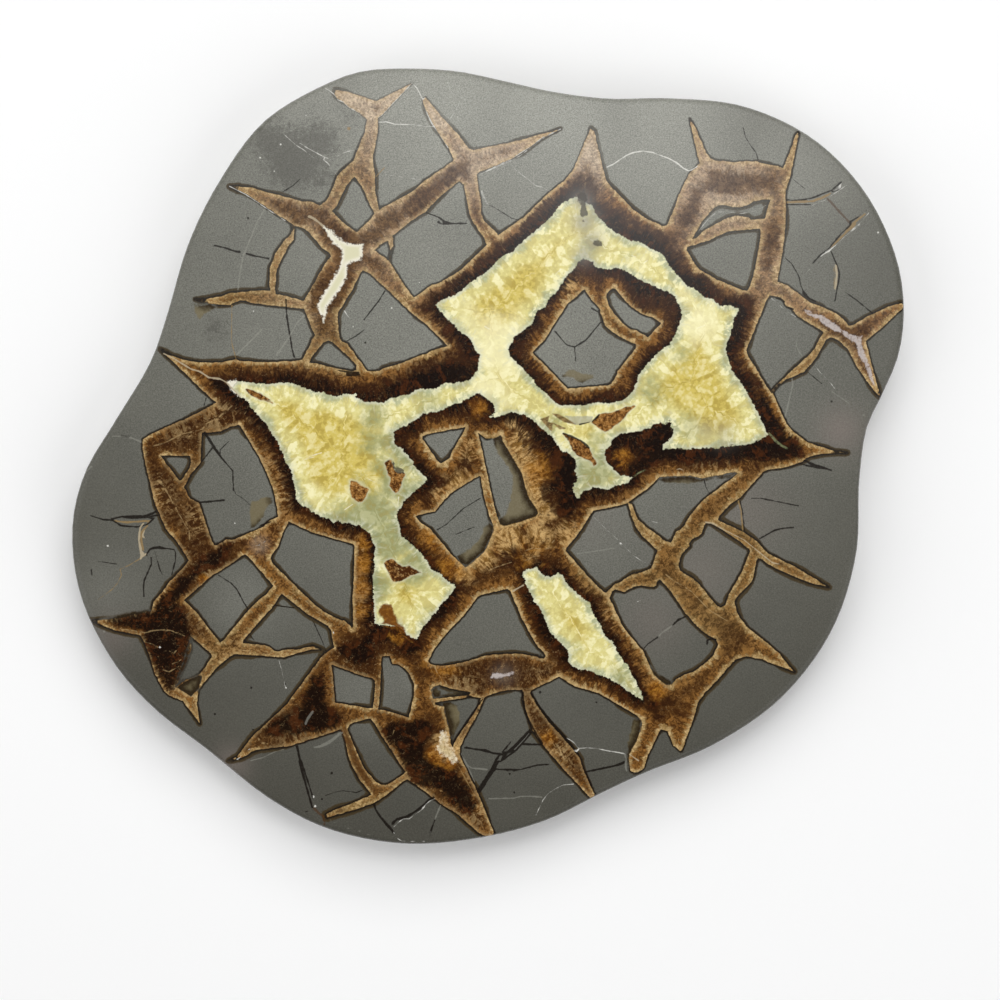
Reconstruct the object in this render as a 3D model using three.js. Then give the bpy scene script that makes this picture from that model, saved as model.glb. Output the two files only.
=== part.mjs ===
// A slab sawn from a septarian nodule: one flat slice of mudstone laced with calcite veins,
// both faces ground flat and every edge eased. Millimetres, +Z up, with the slab lying on
// its underside. The origin is in the middle of the underside.

import * as THREE from 'three';

// Driving dimensions
const SLAB_THICKNESS = 14;
const EASED_EDGE_WIDTH = 1.2; // how far the eased edge comes in over the faces
const EASED_EDGE_DEPTH = 1.6; // how far it goes down the side
const EASED_EDGE_STEPS = 4;
const OUTLINE_STEPS = 168; // straight edges around the outline

// The slab's outline has five lobes with a hollow between each two. Each lobe is given by
// the points its edge passes through, anticlockwise seen from above, from one hollow to
// the next.
const OUTLINE_LOBES = {
  upperRight: [
    [80.9, 6.1],
    [83.9, 12.6],
    [87.6, 21.4],
    [88.8, 31.0],
    [87.2, 42.2],
    [80.5, 56.3],
    [69.4, 67.7],
    [54.4, 74.7],
    [38.5, 76.4],
    [25.8, 76.3],
  ],
  top: [
    [14.2, 77.7],
    [4.6, 79.8],
    [-7.1, 82.2],
    [-20.6, 82.7],
    [-27.0, 82.1],
    [-33.5, 79.9],
    [-47.7, 71.5],
    [-57.6, 58.2],
    [-64.0, 45.2],
    [-68.6, 29.8],
  ],
  left: [
    [-72.0, 20.2],
    [-79.5, 7.6],
    [-86.0, -3.5],
    [-88.7, -15.0],
    [-87.0, -29.5],
    [-79.8, -44.2],
    [-71.2, -53.9],
  ],
  bottom: [
    [-60.2, -62.4],
    [-46.2, -73.4],
    [-34.0, -79.6],
    [-18.5, -82.7],
    [-3.0, -81.7],
    [12.0, -77.9],
    [24.9, -71.6],
  ],
  lowerRight: [
    [33.5, -67.6],
    [48.0, -61.7],
    [62.5, -51.7],
    [73.3, -37.4],
    [78.6, -21.0],
    [79.3, -5.0],
  ],
};

// Polished grey mudstone, which fills most of the face
const mudstone = new THREE.MeshStandardMaterial({
  color: 0x6f7067,
  roughness: 0.35,
  metalness: 0,
});

/** The closed outline as a shape whose straight edges are all about as long. */
function outlineShape() {
  const points = Object.values(OUTLINE_LOBES)
    .flat()
    .map(([x, y]) => new THREE.Vector3(x, y, 0));
  const edge = new THREE.CatmullRomCurve3(points, true, 'centripetal');
  const corners = edge.getSpacedPoints(OUTLINE_STEPS).slice(0, -1);
  return new THREE.Shape(corners.map((corner) => new THREE.Vector2(corner.x, corner.y)));
}

/** The outline raised to the slab's thickness, its upper and lower edges rounded over. */
function slabGeometry() {
  const geometry = new THREE.ExtrudeGeometry(outlineShape(), {
    depth: SLAB_THICKNESS - 2 * EASED_EDGE_DEPTH,
    bevelEnabled: true,
    bevelThickness: EASED_EDGE_DEPTH,
    bevelSize: EASED_EDGE_WIDTH,
    bevelOffset: -EASED_EDGE_WIDTH,
    bevelSegments: EASED_EDGE_STEPS,
  });
  geometry.computeBoundingBox();
  const middle = geometry.boundingBox.getCenter(new THREE.Vector3());
  return geometry.translate(-middle.x, -middle.y, -geometry.boundingBox.min.z);
}

const slab = new THREE.Mesh(slabGeometry(), mudstone);
slab.name = 'slab';

const septarianSlab = new THREE.Group();
septarianSlab.add(slab);

export default septarianSlab;
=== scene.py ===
"""A polished slice of a septarian nodule, dressed for rendering.

Blocks of grey mudstone are laced with veins of brown calcite, and the widest veins are filled
with yellow calcite. The walls, cracks and pools below are drawn in millimetres, as seen from
above the polished face. Their distances are stored on the slab's points, and one material
turns them into bands of colour.
"""

from types import SimpleNamespace

import bmesh
import bpy
import numpy as np
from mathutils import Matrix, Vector
from mathutils.geometry import delaunay_2d_cdt


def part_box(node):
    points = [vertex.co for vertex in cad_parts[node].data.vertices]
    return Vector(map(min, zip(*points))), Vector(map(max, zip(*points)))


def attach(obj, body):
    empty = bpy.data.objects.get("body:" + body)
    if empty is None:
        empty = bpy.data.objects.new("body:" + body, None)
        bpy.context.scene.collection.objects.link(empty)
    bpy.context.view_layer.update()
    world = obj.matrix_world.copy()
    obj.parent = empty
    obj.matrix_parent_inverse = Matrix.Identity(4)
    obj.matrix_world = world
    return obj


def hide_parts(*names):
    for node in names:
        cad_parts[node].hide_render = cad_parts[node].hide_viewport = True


bl_info = {
    "name": "Septarian Nodule Slab",
    "version": (1, 0, 0),
    "blender": (4, 5, 0),
    "location": "View3D > Sidebar > Septarian",
    "description": "Dresses a sawn slab as a polished slice of a septarian nodule",
    "category": "Add Mesh",
}

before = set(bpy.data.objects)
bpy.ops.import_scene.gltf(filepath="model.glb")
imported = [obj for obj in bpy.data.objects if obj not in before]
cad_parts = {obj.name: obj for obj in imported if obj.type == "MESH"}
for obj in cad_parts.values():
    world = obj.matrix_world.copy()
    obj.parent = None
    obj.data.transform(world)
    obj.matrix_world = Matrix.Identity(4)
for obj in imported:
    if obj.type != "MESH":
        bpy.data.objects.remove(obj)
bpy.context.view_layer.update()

MM = 0.001
SLAB_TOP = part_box("slab")[1][2]  # metres

# Outer wall of the net of veins, from the tip of the upper left spike clockwise.
VEIN_NET = [
    (-55, 57.3), (-53, 57.4), (-50.3, 57.1), (-39.7, 54.3), (-37.3, 54.1), (-35.8, 53.4),
    (-34.7, 54.1), (-33.9, 55.2), (-32.1, 59.6), (-31, 60.9), (-28.7, 62.8), (-26.3, 68.8),
    (-25.8, 71.6), (-27.4, 73), (-29.6, 74.2), (-30.7, 75.2), (-32, 75.9), (-32.8, 77.1),
    (-32.5, 78), (-30, 77.6), (-24.3, 75.7), (-23.5, 75.7), (-16.1, 79.4), (-22.6, 72.5),
    (-23.4, 71.9), (-23.4, 69), (-24.5, 63.4), (-24.4, 61.7), (-24, 60.1), (-24, 56.5),
    (-23.1, 52.5), (-16.4, 56.2), (-15, 57.2), (-13.7, 58.5), (-7.6, 62.7), (-7.4, 63.2),
    (-8.5, 65.6), (-11.3, 69.8), (-13.1, 73.2), (-14, 75.9), (-13.3, 76.4), (-9.9, 72.3),
    (-6.2, 68.3), (-4, 65.5), (-3, 65.2), (7.5, 67.4), (10.5, 68.4), (13.2, 68.9), (15.4, 69.6),
    (11.3, 67.5), (6.7, 64), (0.1, 61.1), (-1.6, 60.6), (-2.3, 60), (-1.9, 56.5), (-1.5, 55),
    (-1.3, 51.3), (-0.8, 50.1), (2, 47.4), (2.1, 47), (7.5, 50.8), (12.8, 56), (16, 58.5),
    (17.3, 60), (18.2, 61.2), (21.8, 69.8), (22.6, 69.2), (25.1, 58.9), (26.2, 57.4), (31, 52.4),
    (34, 50.4), (37.2, 49), (38, 49), (39.3, 52), (40.5, 55.5), (42.7, 60), (44.9, 62.3),
    (43.1, 70.2), (42.9, 71.8), (43.6, 71), (44.2, 69.8), (46.6, 64.3), (47.3, 63.4), (48.5, 62.9),
    (52.5, 62.6), (57, 62.8), (58, 62.4), (61.5, 61.8), (62.7, 61.4), (63.2, 62.2), (65.4, 68.2),
    (66, 69.2), (66.2, 68.6), (64.4, 59.5), (63.5, 56.8), (63.3, 55.4), (63.5, 52), (63.2, 47.5),
    (62.8, 44), (61.6, 37.1), (63.5, 36.5), (68.6, 32.7), (70.5, 32.1), (74.3, 30.3), (75.3, 29.5),
    (76.8, 27.8), (77.8, 28), (80.5, 29.6), (85, 31.8), (88.7, 32.8), (88.8, 31.9), (83.8, 27.2),
    (80.4, 24.4), (82.9, 14.7), (83.8, 12.5), (83, 12.9), (81.2, 15), (78.5, 18.9), (76.5, 22.7),
    (74.5, 24.6), (73.5, 25.1), (72.7, 25.2), (72, 24.7), (69.9, 20.9), (67.3, 17.9), (63.5, 16.2),
    (62.2, 15.3), (60.6, 13.5), (63.5, 7), (64.5, 5.7), (68, 3), (73.8, 1), (76.5, 0.7),
    (73.2, 0.6), (70, 0.2), (68.5, -0.2), (67.8, -0.5), (67, -1.2), (65, -1.9), (63, -2.5),
    (59.5, -3), (58.5, -3.5), (53.8, -8.8), (51.5, -10.4), (49.2, -12.8), (49, -13.6),
    (54.3, -16.1), (57, -17.9), (59.6, -20.6), (65.5, -23.6), (72.5, -27.9), (69, -27.2),
    (65.5, -25.8), (60.8, -23.8), (59.5, -23.1), (58.3, -22.1), (57.5, -21.8), (57.1, -22.5),
    (56.6, -25.5), (56.1, -26.8), (53, -30), (52.5, -31), (53, -33.2), (53.6, -34.3), (55.4, -36.6),
    (58.6, -39), (62, -42), (65.2, -46), (58.4, -43.4), (55, -42.6), (52.6, -43.4), (48.6, -48),
    (46.2, -50.4), (44.6, -52.6), (43.8, -55.8), (41.2, -63), (39.4, -61.6), (38.2, -58.6),
    (36.8, -58.2), (34.2, -63.4), (33.2, -66.5), (31.6, -67.6), (30.3, -67), (30, -64.5),
    (30.1, -63.5), (31.7, -60.4), (32.6, -57.8), (32.7, -56.6), (32.5, -55.9), (31.9, -55.4),
    (23.5, -50.5), (18.3, -49), (15.1, -47), (9.1, -50), (9, -50.4), (11.6, -54.7), (12.8, -56.3),
    (18.9, -63.2), (19.7, -64.6), (20.5, -67.4), (22.7, -71.8), (22.5, -72.9), (22, -73.1),
    (15, -65.5), (11.7, -61.6), (9.8, -58.9), (9.2, -57.7), (7.5, -52.8), (7.3, -51.5),
    (7.5, -50.3), (7.2, -49.8), (4.2, -49.8), (0, -50.9), (-0.8, -51.4), (-1.8, -54.2), (-5, -60.1),
    (-5.8, -61.8), (-6, -63.5), (-2, -71.9), (1.4, -80.4), (0.5, -81.2), (-1, -80.9), (-1.8, -80.4),
    (-6.8, -76), (-9.3, -74.6), (-14.8, -70.4), (-17.2, -68.8), (-18, -69.2), (-21.5, -72.1),
    (-24.3, -73.9), (-28, -75.2), (-34.3, -77), (-34.5, -76.2), (-33, -75.4), (-29.5, -74.1),
    (-24.8, -72), (-27.5, -68.6), (-29.2, -65.5), (-29.7, -64), (-30.4, -60.5), (-31.2, -58.2),
    (-42, -61.7), (-49.3, -62.6), (-50.2, -62.9), (-51, -63.6), (-52, -64.1), (-55.3, -65),
    (-53.4, -63.9), (-50, -59.4), (-43, -53), (-36, -43.4), (-34.8, -42), (-32.8, -40.7),
    (-33.5, -37), (-34, -36.3), (-38.5, -33.6), (-43.9, -29.3), (-45.8, -32.1), (-51.2, -38.2),
    (-52, -39.2), (-52.2, -39.8), (-47.5, -40.2), (-46.5, -40.6), (-45.5, -41.4), (-44.6, -41.6),
    (-43.5, -41.2), (-40, -41), (-37.2, -40.4), (-35.6, -41.1), (-38, -41.3), (-43.5, -42.9),
    (-52.5, -42.3), (-54, -42.3), (-55, -42.8), (-57.5, -44.9), (-60.3, -48.1), (-61.6, -50),
    (-61.9, -52.5), (-61.3, -57), (-65, -52.2), (-68, -50.9), (-68.9, -50.1), (-70.8, -46.5),
    (-73, -40), (-74, -38.2), (-79.5, -37.1), (-84.8, -35), (-79, -34.6), (-72.4, -33),
    (-71.7, -33), (-71.2, -31), (-69.1, -28.6), (-68.2, -27.2), (-64.4, -23.2), (-63.7, -22.2),
    (-66.1, -18.4), (-68.6, -15.5), (-70.9, -10.2), (-72.9, -2.1), (-73.6, 2), (-73.5, 3.6),
    (-71.4, 4.9), (-62.2, 9), (-57.9, 11.4), (-59.6, 12.8), (-69.9, 22.8), (-67.2, 21.4),
    (-64.9, 20.6), (-62.2, 20.1), (-59.8, 19.9), (-56.6, 20), (-53.7, 20.7), (-52.9, 20.3),
    (-47.9, 20), (-41.2, 20.3), (-39.6, 20.6), (-38.1, 23.2), (-37.6, 24.7), (-36.9, 25.7),
    (-39.2, 31.3), (-46.4, 32), (-50.7, 32.6), (-51.6, 33), (-52.7, 33), (-54, 32.6), (-54.8, 32.1),
    (-57.7, 32.2), (-60.5, 32.6), (-62.4, 33.4), (-60.3, 33.4), (-56.6, 34.1), (-54.8, 34.7),
    (-49, 35.3), (-46.4, 35.3), (-46.6, 36.2), (-46.4, 40.3), (-45.1, 43.4), (-43.6, 45.6),
    (-41.9, 47.3), (-41.7, 49.3), (-51.6, 55.8),
]

# Blocks of mudstone that the veins close in.
MUDSTONE_BLOCKS = {
    "upper_diamond": [
        (-28.4, 59.3), (-26.8, 57.3), (-25.5, 54.1), (-24.2, 51.6), (-25, 50.5), (-27.9, 47.7),
        (-30.1, 49.1), (-33.2, 52.1), (-32.3, 53), (-30, 57.6), (-29, 58.9),
    ],
    "left_shoulder": [
        (-41.1, 48.9), (-39, 48.3), (-37.9, 47.3), (-35.3, 44.2), (-33.8, 43.1), (-33.5, 42.5),
        (-34.7, 41), (-39.2, 33), (-42.9, 34.1), (-45.1, 34.5), (-45.3, 35.5), (-44.9, 39.7),
        (-42.3, 44.9), (-41.3, 46),
    ],
    "left_small_triangle": [
        (-34, 24.5), (-35.1, 24), (-37.5, 21), (-38, 19.9), (-36.4, 19.7), (-31.6, 18.5),
        (-28.8, 18.1), (-28, 18.3), (-28.1, 19.3), (-29.2, 20.6), (-32.9, 24),
    ],
    "left_arrowhead": [
        (-26.6, 39.5), (-24.8, 38.5), (-17.9, 31.9), (-15.1, 29.4), (-13.8, 28.5), (-8.6, 23.4),
        (-12, 22.5), (-13.1, 21.8), (-14.6, 21.4), (-18.5, 19.8), (-22.4, 18.7), (-23.1, 18.1),
        (-25.7, 18.2), (-30, 24), (-31.1, 24.3), (-31.6, 25.4), (-32, 29.5), (-31.8, 30.6),
        (-29, 35.1), (-27.2, 38.8),
    ],
    "upper_small_triangle": [
        (-24.1, 43.8), (-22.9, 44.9), (-21.3, 45.8), (-20.9, 43.6), (-21.1, 41.6),
    ],
    "upper_centre": [
        (-20.2, 46.9), (-16.4, 49.9), (-13.3, 51.9), (-10.3, 55), (-6.1, 58.5), (-5.2, 57.8),
        (-4, 51.5), (-3.1, 49.5), (-1.2, 46.8), (-0.3, 45), (-6, 39.5), (-10.7, 36.7), (-12, 36.4),
        (-12.9, 35.9), (-15.3, 34), (-15.8, 33.8), (-17.9, 36.6), (-20.7, 41), (-20.6, 42.7),
        (-20.1, 44.7),
    ],
    "left_wing_triangle": [
        (-69.7, 0.1), (-63.4, 0), (-63.2, -1.4), (-63.8, -2.9), (-65.2, -5), (-65.6, -5.2),
    ],
    "island_triangle": [
        (-4.9, 6.1), (-13, 4.6), (-13.9, 4.1), (-13.9, 3.7), (-10.5, -1.2), (-10.2, -1.5),
        (-9.9, -1.5), (-8.3, -0.4), (-7.6, 1.2), (-5, 5.6),
    ],
    "pentagon": [
        (-42.4, -14), (-37.5, -16.3), (-28.8, -18.8), (-28.5, -19.1), (-28.6, -26), (-28.9, -30),
        (-28.7, -36), (-28.9, -36.5), (-30.7, -34.9), (-31, -35), (-33, -34.1), (-35, -33),
        (-36.8, -31.7), (-46, -22.6), (-46.2, -21.9), (-46, -21.2), (-44.4, -18.9), (-43.6, -16.3),
    ],
    "left_lower_diamond": [
        (-51.6, -21.1), (-50.9, -21.6), (-45.7, -27.6), (-47.2, -29.3), (-48.9, -30.7),
        (-51.9, -33.7), (-56.1, -38.9), (-57, -39.7), (-62, -33.2), (-64.6, -30.7), (-59, -25.7),
        (-54, -22.6), (-52.3, -21.3),
    ],
    "island_crescent": [
        (26.5, 35.6), (25.9, 35.2), (25.3, 34.4), (25.2, 33.7), (25.9, 31.8), (26.7, 30.5),
        (29.2, 27.8), (30.5, 27), (31.5, 26.8), (34, 25.3), (36.8, 28.3), (35, 29.4), (32.7, 30.2),
        (31, 31.3), (29.5, 32.6), (27, 35.6),
    ],
    "upper_right_sliver": [
        (43.5, 46.2), (45.9, 50.3), (48.1, 52.8), (49.3, 53.3), (50.5, 53.3), (52, 52.9),
        (53.5, 52.9), (55, 53.2), (56.5, 54.1), (58.5, 54.5), (60, 54.5), (59.3, 52.5),
        (58.9, 50.6), (56, 50.3), (55.5, 50.9), (54, 51.1), (52.5, 51.1), (51, 50.8), (46.7, 48.5),
        (45.5, 47.7), (44, 46.2),
    ],
    "upper_right_triangle": [
        (42.4, 44.4), (47, 45.8), (51, 47.7), (57.9, 48.4), (58, 47), (56.8, 40), (56.2, 37.5),
        (55.1, 35.2), (54, 35.4), (48.5, 37.7), (45, 39.8), (43.9, 41.2), (42.3, 43.9),
    ],
    "centre_lower": [
        (-1.9, -4.3), (-7, -7.3), (-8.7, -8.8), (-11.3, -11.8), (-15.3, -12.8), (-15, -13.4),
        (-13.8, -14.5), (-12.3, -15.4), (-8, -20.6), (-4.8, -23.7), (-4.2, -23.4), (-0.7, -20.3),
        (1.2, -15.9), (1.2, -15.1), (0.2, -12.6), (-0.8, -9.3), (-1.6, -4.5),
    ],
    "east_round": [
        (46.5, -14.3), (47.5, -14.4), (50.2, -15.9), (53.8, -18.4), (55.3, -19.7), (55.7, -20.3),
        (53.8, -25), (51.1, -29.6), (50.4, -31.7), (49.5, -32.2), (48.6, -31.7), (45.1, -27.4),
        (43.6, -26), (40.9, -24.4), (40.6, -23.5), (40.8, -21.9), (41.4, -20.7), (43, -19.2),
        (42.8, -18.5), (43.5, -17.7), (44.7, -17.2), (45.5, -16.5), (46.2, -14.6),
    ],
    "south_square": [
        (-33.2, -44.5), (-26.2, -47), (-24.5, -47.4), (-24.1, -47.9), (-24.1, -50), (-24.5, -53.5),
        (-25.5, -53.6), (-32.5, -52.4),
    ],
    "south_arch": [
        (-22.6, -42.7), (-21, -42.6), (-20.3, -44.2), (-19.5, -44.3), (-18.3, -44.8),
        (-16.9, -46.2), (-15.8, -48.3), (-15.8, -50.8), (-16.9, -55.6), (-20.5, -54.4),
        (-23.3, -53.8), (-22.9, -50),
    ],
    "south_sliver": [
        (-12.1, -49.8), (-11.7, -49.2), (-11, -48.8), (-10.2, -48.8), (-8, -49.5), (-3.8, -50.3),
        (-4.2, -50.9), (-11.7, -51.6),
    ],
    "stained_wedge": [
        (-11.2, -52.5), (-4.5, -51.4), (-3, -51.3), (-1.6, -51.5), (-2.4, -53.9), (-6.8, -60.2),
        (-7.5, -61.8), (-7.9, -61), (-8.3, -58), (-9.3, -54.4), (-9.4, -53.4), (-11.2, -52.8),
    ],
    "bottom_block": [
        (-25.1, -55.9), (-24.6, -56.4), (-17.7, -67.2), (-18.2, -67.8), (-21.4, -69.9),
        (-22.6, -69.9), (-23.9, -69.2), (-26, -66.8), (-26.9, -65.3), (-29.9, -58.1),
        (-29.4, -57.3), (-28.5, -56.7),
    ],
    "left_lower_triangle": [
        (-63.3, -38.4), (-64.3, -43.2), (-66.5, -48.9), (-66.2, -49.2), (-64.4, -47.9),
        (-61.2, -46.4), (-58.8, -42.6), (-59.1, -42),
    ],
    "left_big": [
        (-64.7, -6.6), (-64.2, -6), (-63.4, -4.2), (-61.1, -1.4), (-60.8, 4.9), (-58.1, 5),
        (-56.6, 5.3), (-54.8, 6.2), (-53.1, 6.6), (-52.8, 6.4), (-48.8, -0.1), (-47.9, -1.9),
        (-46, -6.4), (-45.5, -8.2), (-44.7, -12.8), (-47, -14), (-47.7, -14.9), (-49.8, -15.9),
        (-54.5, -17.8), (-55.7, -17.7), (-57.7, -19), (-58.2, -18.9), (-58.7, -18), (-61.4, -10),
        (-63.4, -8.9),
    ],
    "wedge": [
        (-2, 4.8), (-0.5, 3.7), (0, 3.6), (1, 3.7), (2.7, 4.4), (3, 4), (3.1, 3.1), (7.2, -3.6),
        (8.5, -8.5), (10.4, -11.5), (10.6, -12.2), (10.2, -12.9), (4.8, -14.6), (3.6, -14.8),
        (2.6, -14.7), (1.7, -12),
    ],
    "island": [
        (10.3, 21.2), (9.5, 22), (12, 24.6), (17, 32.4), (19.4, 34.3), (20.2, 35.2), (20.6, 35.3),
        (22, 33.2), (23.8, 31.2), (23.9, 30.3), (24.9, 27.8), (25.8, 26.8), (28, 25.3),
        (31.4, 23.7), (31.3, 22.9), (27.5, 18), (27.5, 17.5), (26.2, 15.4), (25.5, 15.1),
        (17, 14.4),
    ],
    "kite": [
        (57.5, 18), (55.1, 21.9), (55, 22.5), (59.4, 33.3), (60, 34.1), (62.2, 33.7), (62.8, 33.2),
        (63, 32.5), (63.4, 32), (64.5, 31.5), (65.3, 30.2), (67.5, 28.6), (70.3, 27.1),
        (71.3, 26.4), (71.3, 26), (70.6, 25.2), (69.4, 22.9), (68.5, 21.8), (61.4, 15.2),
        (60.2, 13.7), (60.3, 13.4), (55.9, 20.4),
    ],
    "south": [
        (29.8, -10), (27.5, -10.7), (22.4, -11.7), (18.8, -17.2), (16.7, -19.6), (16.6, -20.2),
        (22.2, -26.5), (24.5, -28.8), (25.1, -29), (27.1, -27.1), (28.3, -26.6), (30.3, -25.3),
        (31, -25), (32.5, -24.8), (34.7, -23.8), (36, -20.1), (32.7, -16.9), (31.6, -15.5),
        (30.5, -12.9),
    ],
    "below_band": [
        (29.8, -9.9), (34, -7), (36.5, -4.5), (43, -4.2), (45.5, -4.8), (52.5, -3.4), (53.1, -3.7),
        (45.3, -9.7), (42.4, -13.5), (41.8, -14.7), (41, -15.6), (40, -16.1), (38.9, -18.4),
        (38, -18.2), (33.6, -15), (31.8, -13.2), (30.6, -10.2),
    ],
    "south_centre": [
        (-12.7, -43.6), (-11.5, -41.3), (-10.5, -39.9), (-9, -38), (-4.7, -33.5), (-2.2, -30.1),
        (-1.5, -29.6), (4.1, -28.3), (4.7, -28.8), (7.3, -34.9), (8.9, -37.9), (10.7, -40.8),
        (11.8, -41.9), (12.2, -42.6), (11.8, -43.1), (11, -43), (10.5, -42.6), (7.5, -42.1),
        (5.5, -42), (1.5, -42.2), (-0.5, -42.4), (-5.5, -43.9), (-9.5, -44.6), (-11.3, -44.5),
        (-12.3, -44.2),
    ],
    "wedge_side": [
        (-63.2, -38.5), (-63.2, -41.3), (-64.2, -44), (-65.6, -47.4), (-66.6, -49.2),
        (-66.3, -47.4), (-64.9, -44), (-64.2, -41.3),
    ],
    "foot_side": [
        (-66.3, -49.2), (-64.6, -47.8), (-61.5, -46.6), (-60.8, -46.9), (-61.5, -49.5),
        (-63.2, -51.2),
    ],
    "south_low": [
        (36.6, -26.3), (38.8, -28.8), (42, -33.5), (43.2, -34.9), (45.5, -37.3), (46.8, -38.2),
        (48.3, -38.9), (48.9, -40.2), (48, -42.2), (45.8, -44.4), (43.6, -45.9), (41.7, -46.5),
        (40, -47.4), (38.9, -48.7), (38, -48.7), (37, -48.1), (35.1, -46.3), (33.1, -41.5),
        (29, -36.7), (25.9, -30.2), (26.4, -28.9), (27.1, -28.4), (29, -29), (31, -27.9),
        (32.5, -27.6), (35.2, -27.9), (35.8, -27.5), (36.1, -26.6),
    ],
}

# Border of the yellow calcite that fills the middle of the net.
STAR_FILL = [
    (-53.3, 15.9), (-47.2, 15.3), (-42.9, 15.6), (-41.4, 15.5), (-36.8, 13.6), (-35.1, 13.6),
    (-33.4, 12.9), (-32.1, 12.7), (-30.5, 13.2), (-28, 13.1), (-28.3, 12.5), (-26, 11.5),
    (-22.2, 11.4), (-20.6, 12.3), (-16.6, 13.2), (-15.7, 13.9), (-14.5, 14.3), (-10.8, 14.3),
    (-10, 15.2), (-9, 15.6), (-7, 15.5), (-4, 16.1), (-2.2, 18.2), (-1.9, 20.5), (-1.6, 21.4),
    (-2.5, 22.3), (-3.6, 24.7), (-4.5, 25.6), (-6, 26.4), (-7, 27.8), (-8.3, 28.7), (-11.3, 32.2),
    (-8.6, 33.8), (-7, 34.2), (-5.5, 35.2), (-4, 36.8), (-0.5, 39), (3.2, 42.6), (5.3, 43.6),
    (8, 46.2), (11, 48.6), (13.8, 51.3), (15.8, 53.8), (18.8, 55.2), (20.5, 54), (22, 53.5),
    (23, 51.5), (25.2, 49), (26.5, 48), (30.5, 45.7), (32, 45.6), (33.5, 44.9), (35, 43.9),
    (36.5, 43.4), (37.5, 42.5), (38.3, 41), (40, 38.6), (41, 37.8), (42.5, 36), (43.8, 35.8),
    (46, 33.7), (47, 33.4), (47.8, 33.5), (48.5, 32.6), (49.5, 32), (51.5, 32), (53.3, 31.3),
    (53.2, 30.5), (52.5, 29.6), (51.4, 25.2), (50.7, 24), (50.6, 22.8), (50.8, 21.5), (52, 18),
    (54.3, 14.8), (56.6, 10.8), (59.6, 4.6), (58.4, 3.6), (57.3, 3.4), (56.4, 2.7), (55.5, 2.4),
    (53, 2.2), (51.8, 2.5), (48.5, 1.6), (47.2, 1.9), (44.5, 1.5), (43.4, 1.8), (42.8, 1.2),
    (40.8, 1.7), (37.3, 1.4), (37.3, 2.4), (38.8, 3.5), (39.6, 5.5), (38.9, 6.2), (39, 7.2),
    (38.6, 7.6), (38, 7.3), (37.6, 6.7), (36.6, 7.1), (35.4, 6.8), (34.5, 6), (31, 5), (28.3, 4.8),
    (27, 4), (26.1, 3), (25.9, 2.1), (25, 1.4), (24.9, 0.2), (25.1, -0.9), (25.6, -1.8),
    (26.4, -2.4), (28, -4.1), (29.5, -4.2), (30.8, -4.6), (30, -5.6), (27.5, -6.2), (25.5, -7.1),
    (23.3, -6.7), (22.3, -6.7), (21.5, -7.3), (20.3, -7.5), (19.6, -8.2), (19.5, -9), (19.1, -9),
    (18.7, -8.9), (18.3, -7.4), (17.9, -6.8), (18.1, -6), (18.7, -5.5), (19.1, -4.8), (18.9, -3.8),
    (18.4, -3), (18.8, -2.4), (18.9, -1.6), (18.5, -0.6), (16.7, 0.9), (16, 0.8), (14.1, 3.2),
    (13.6, 4.2), (12.9, 4.5), (10.3, 7), (8.6, 8.3), (7.5, 8.8), (4.9, 9.3), (1.3, 8.2), (0.4, 8.3),
    (1.1, 8.9), (1.5, 9.7), (1.4, 10.6), (1, 11.2), (-1.5, 13.1), (-1.7, 13.5), (-4.9, 12),
    (-5.8, 11.4), (-8, 10.7), (-11, 9.3), (-12, 9.5), (-12.9, 9), (-13.7, 9), (-15.8, 7.5),
    (-16.9, 7), (-17, 6.5), (-18, 6.4), (-20.2, 5.1), (-19.9, 3.7), (-20, 2.9), (-19.7, 2.3),
    (-18.4, 1.6), (-17.7, 0.6), (-17, 0.1), (-15.9, -1.3), (-15.7, -2.1), (-12.9, -5.1),
    (-15.9, -7.9), (-17.3, -8.9), (-18.1, -9.9), (-18.3, -10.6), (-19.1, -11.5), (-19.4, -12.5),
    (-19.3, -13.6), (-18.9, -14.7), (-18.6, -16.8), (-14.2, -20.7), (-12.9, -22.4), (-12, -24.2),
    (-10.1, -25.1), (-8.9, -26.5), (-7.3, -27.4), (-7, -28), (-8.2, -29.7), (-9.9, -31.5),
    (-10.5, -32.5), (-13.1, -35.5), (-14.2, -37), (-15.2, -39), (-16.2, -38.7), (-16.8, -38.3),
    (-17.6, -37.6), (-18.6, -36.3), (-24.1, -35.8), (-24.5, -26), (-24.2, -24.2), (-24.2, -21),
    (-23.9, -19.2), (-24.3, -18.7), (-25.2, -16.5), (-27.2, -14.8), (-28.8, -14.7), (-29.5, -14.1),
    (-31.2, -14.3), (-31.8, -13.7), (-32.3, -13.8), (-32.8, -14.2), (-34, -13.4), (-35.5, -12.9),
    (-37.6, -11.7), (-38.5, -10.8), (-39.4, -10.6), (-40.3, -9.9), (-40.9, -8.8), (-41, -7),
    (-41.6, -4.9), (-41.8, -3.2), (-42.7, -1.9), (-43.4, -0.3), (-43.6, 0.7), (-44.2, 1.4),
    (-44.6, 2.7), (-46.6, 5.7), (-47.2, 7), (-48.1, 7.7), (-50.5, 10.5), (-51.1, 11.7),
    (-52.4, 12.4), (-54.6, 14.4),
]

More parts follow.
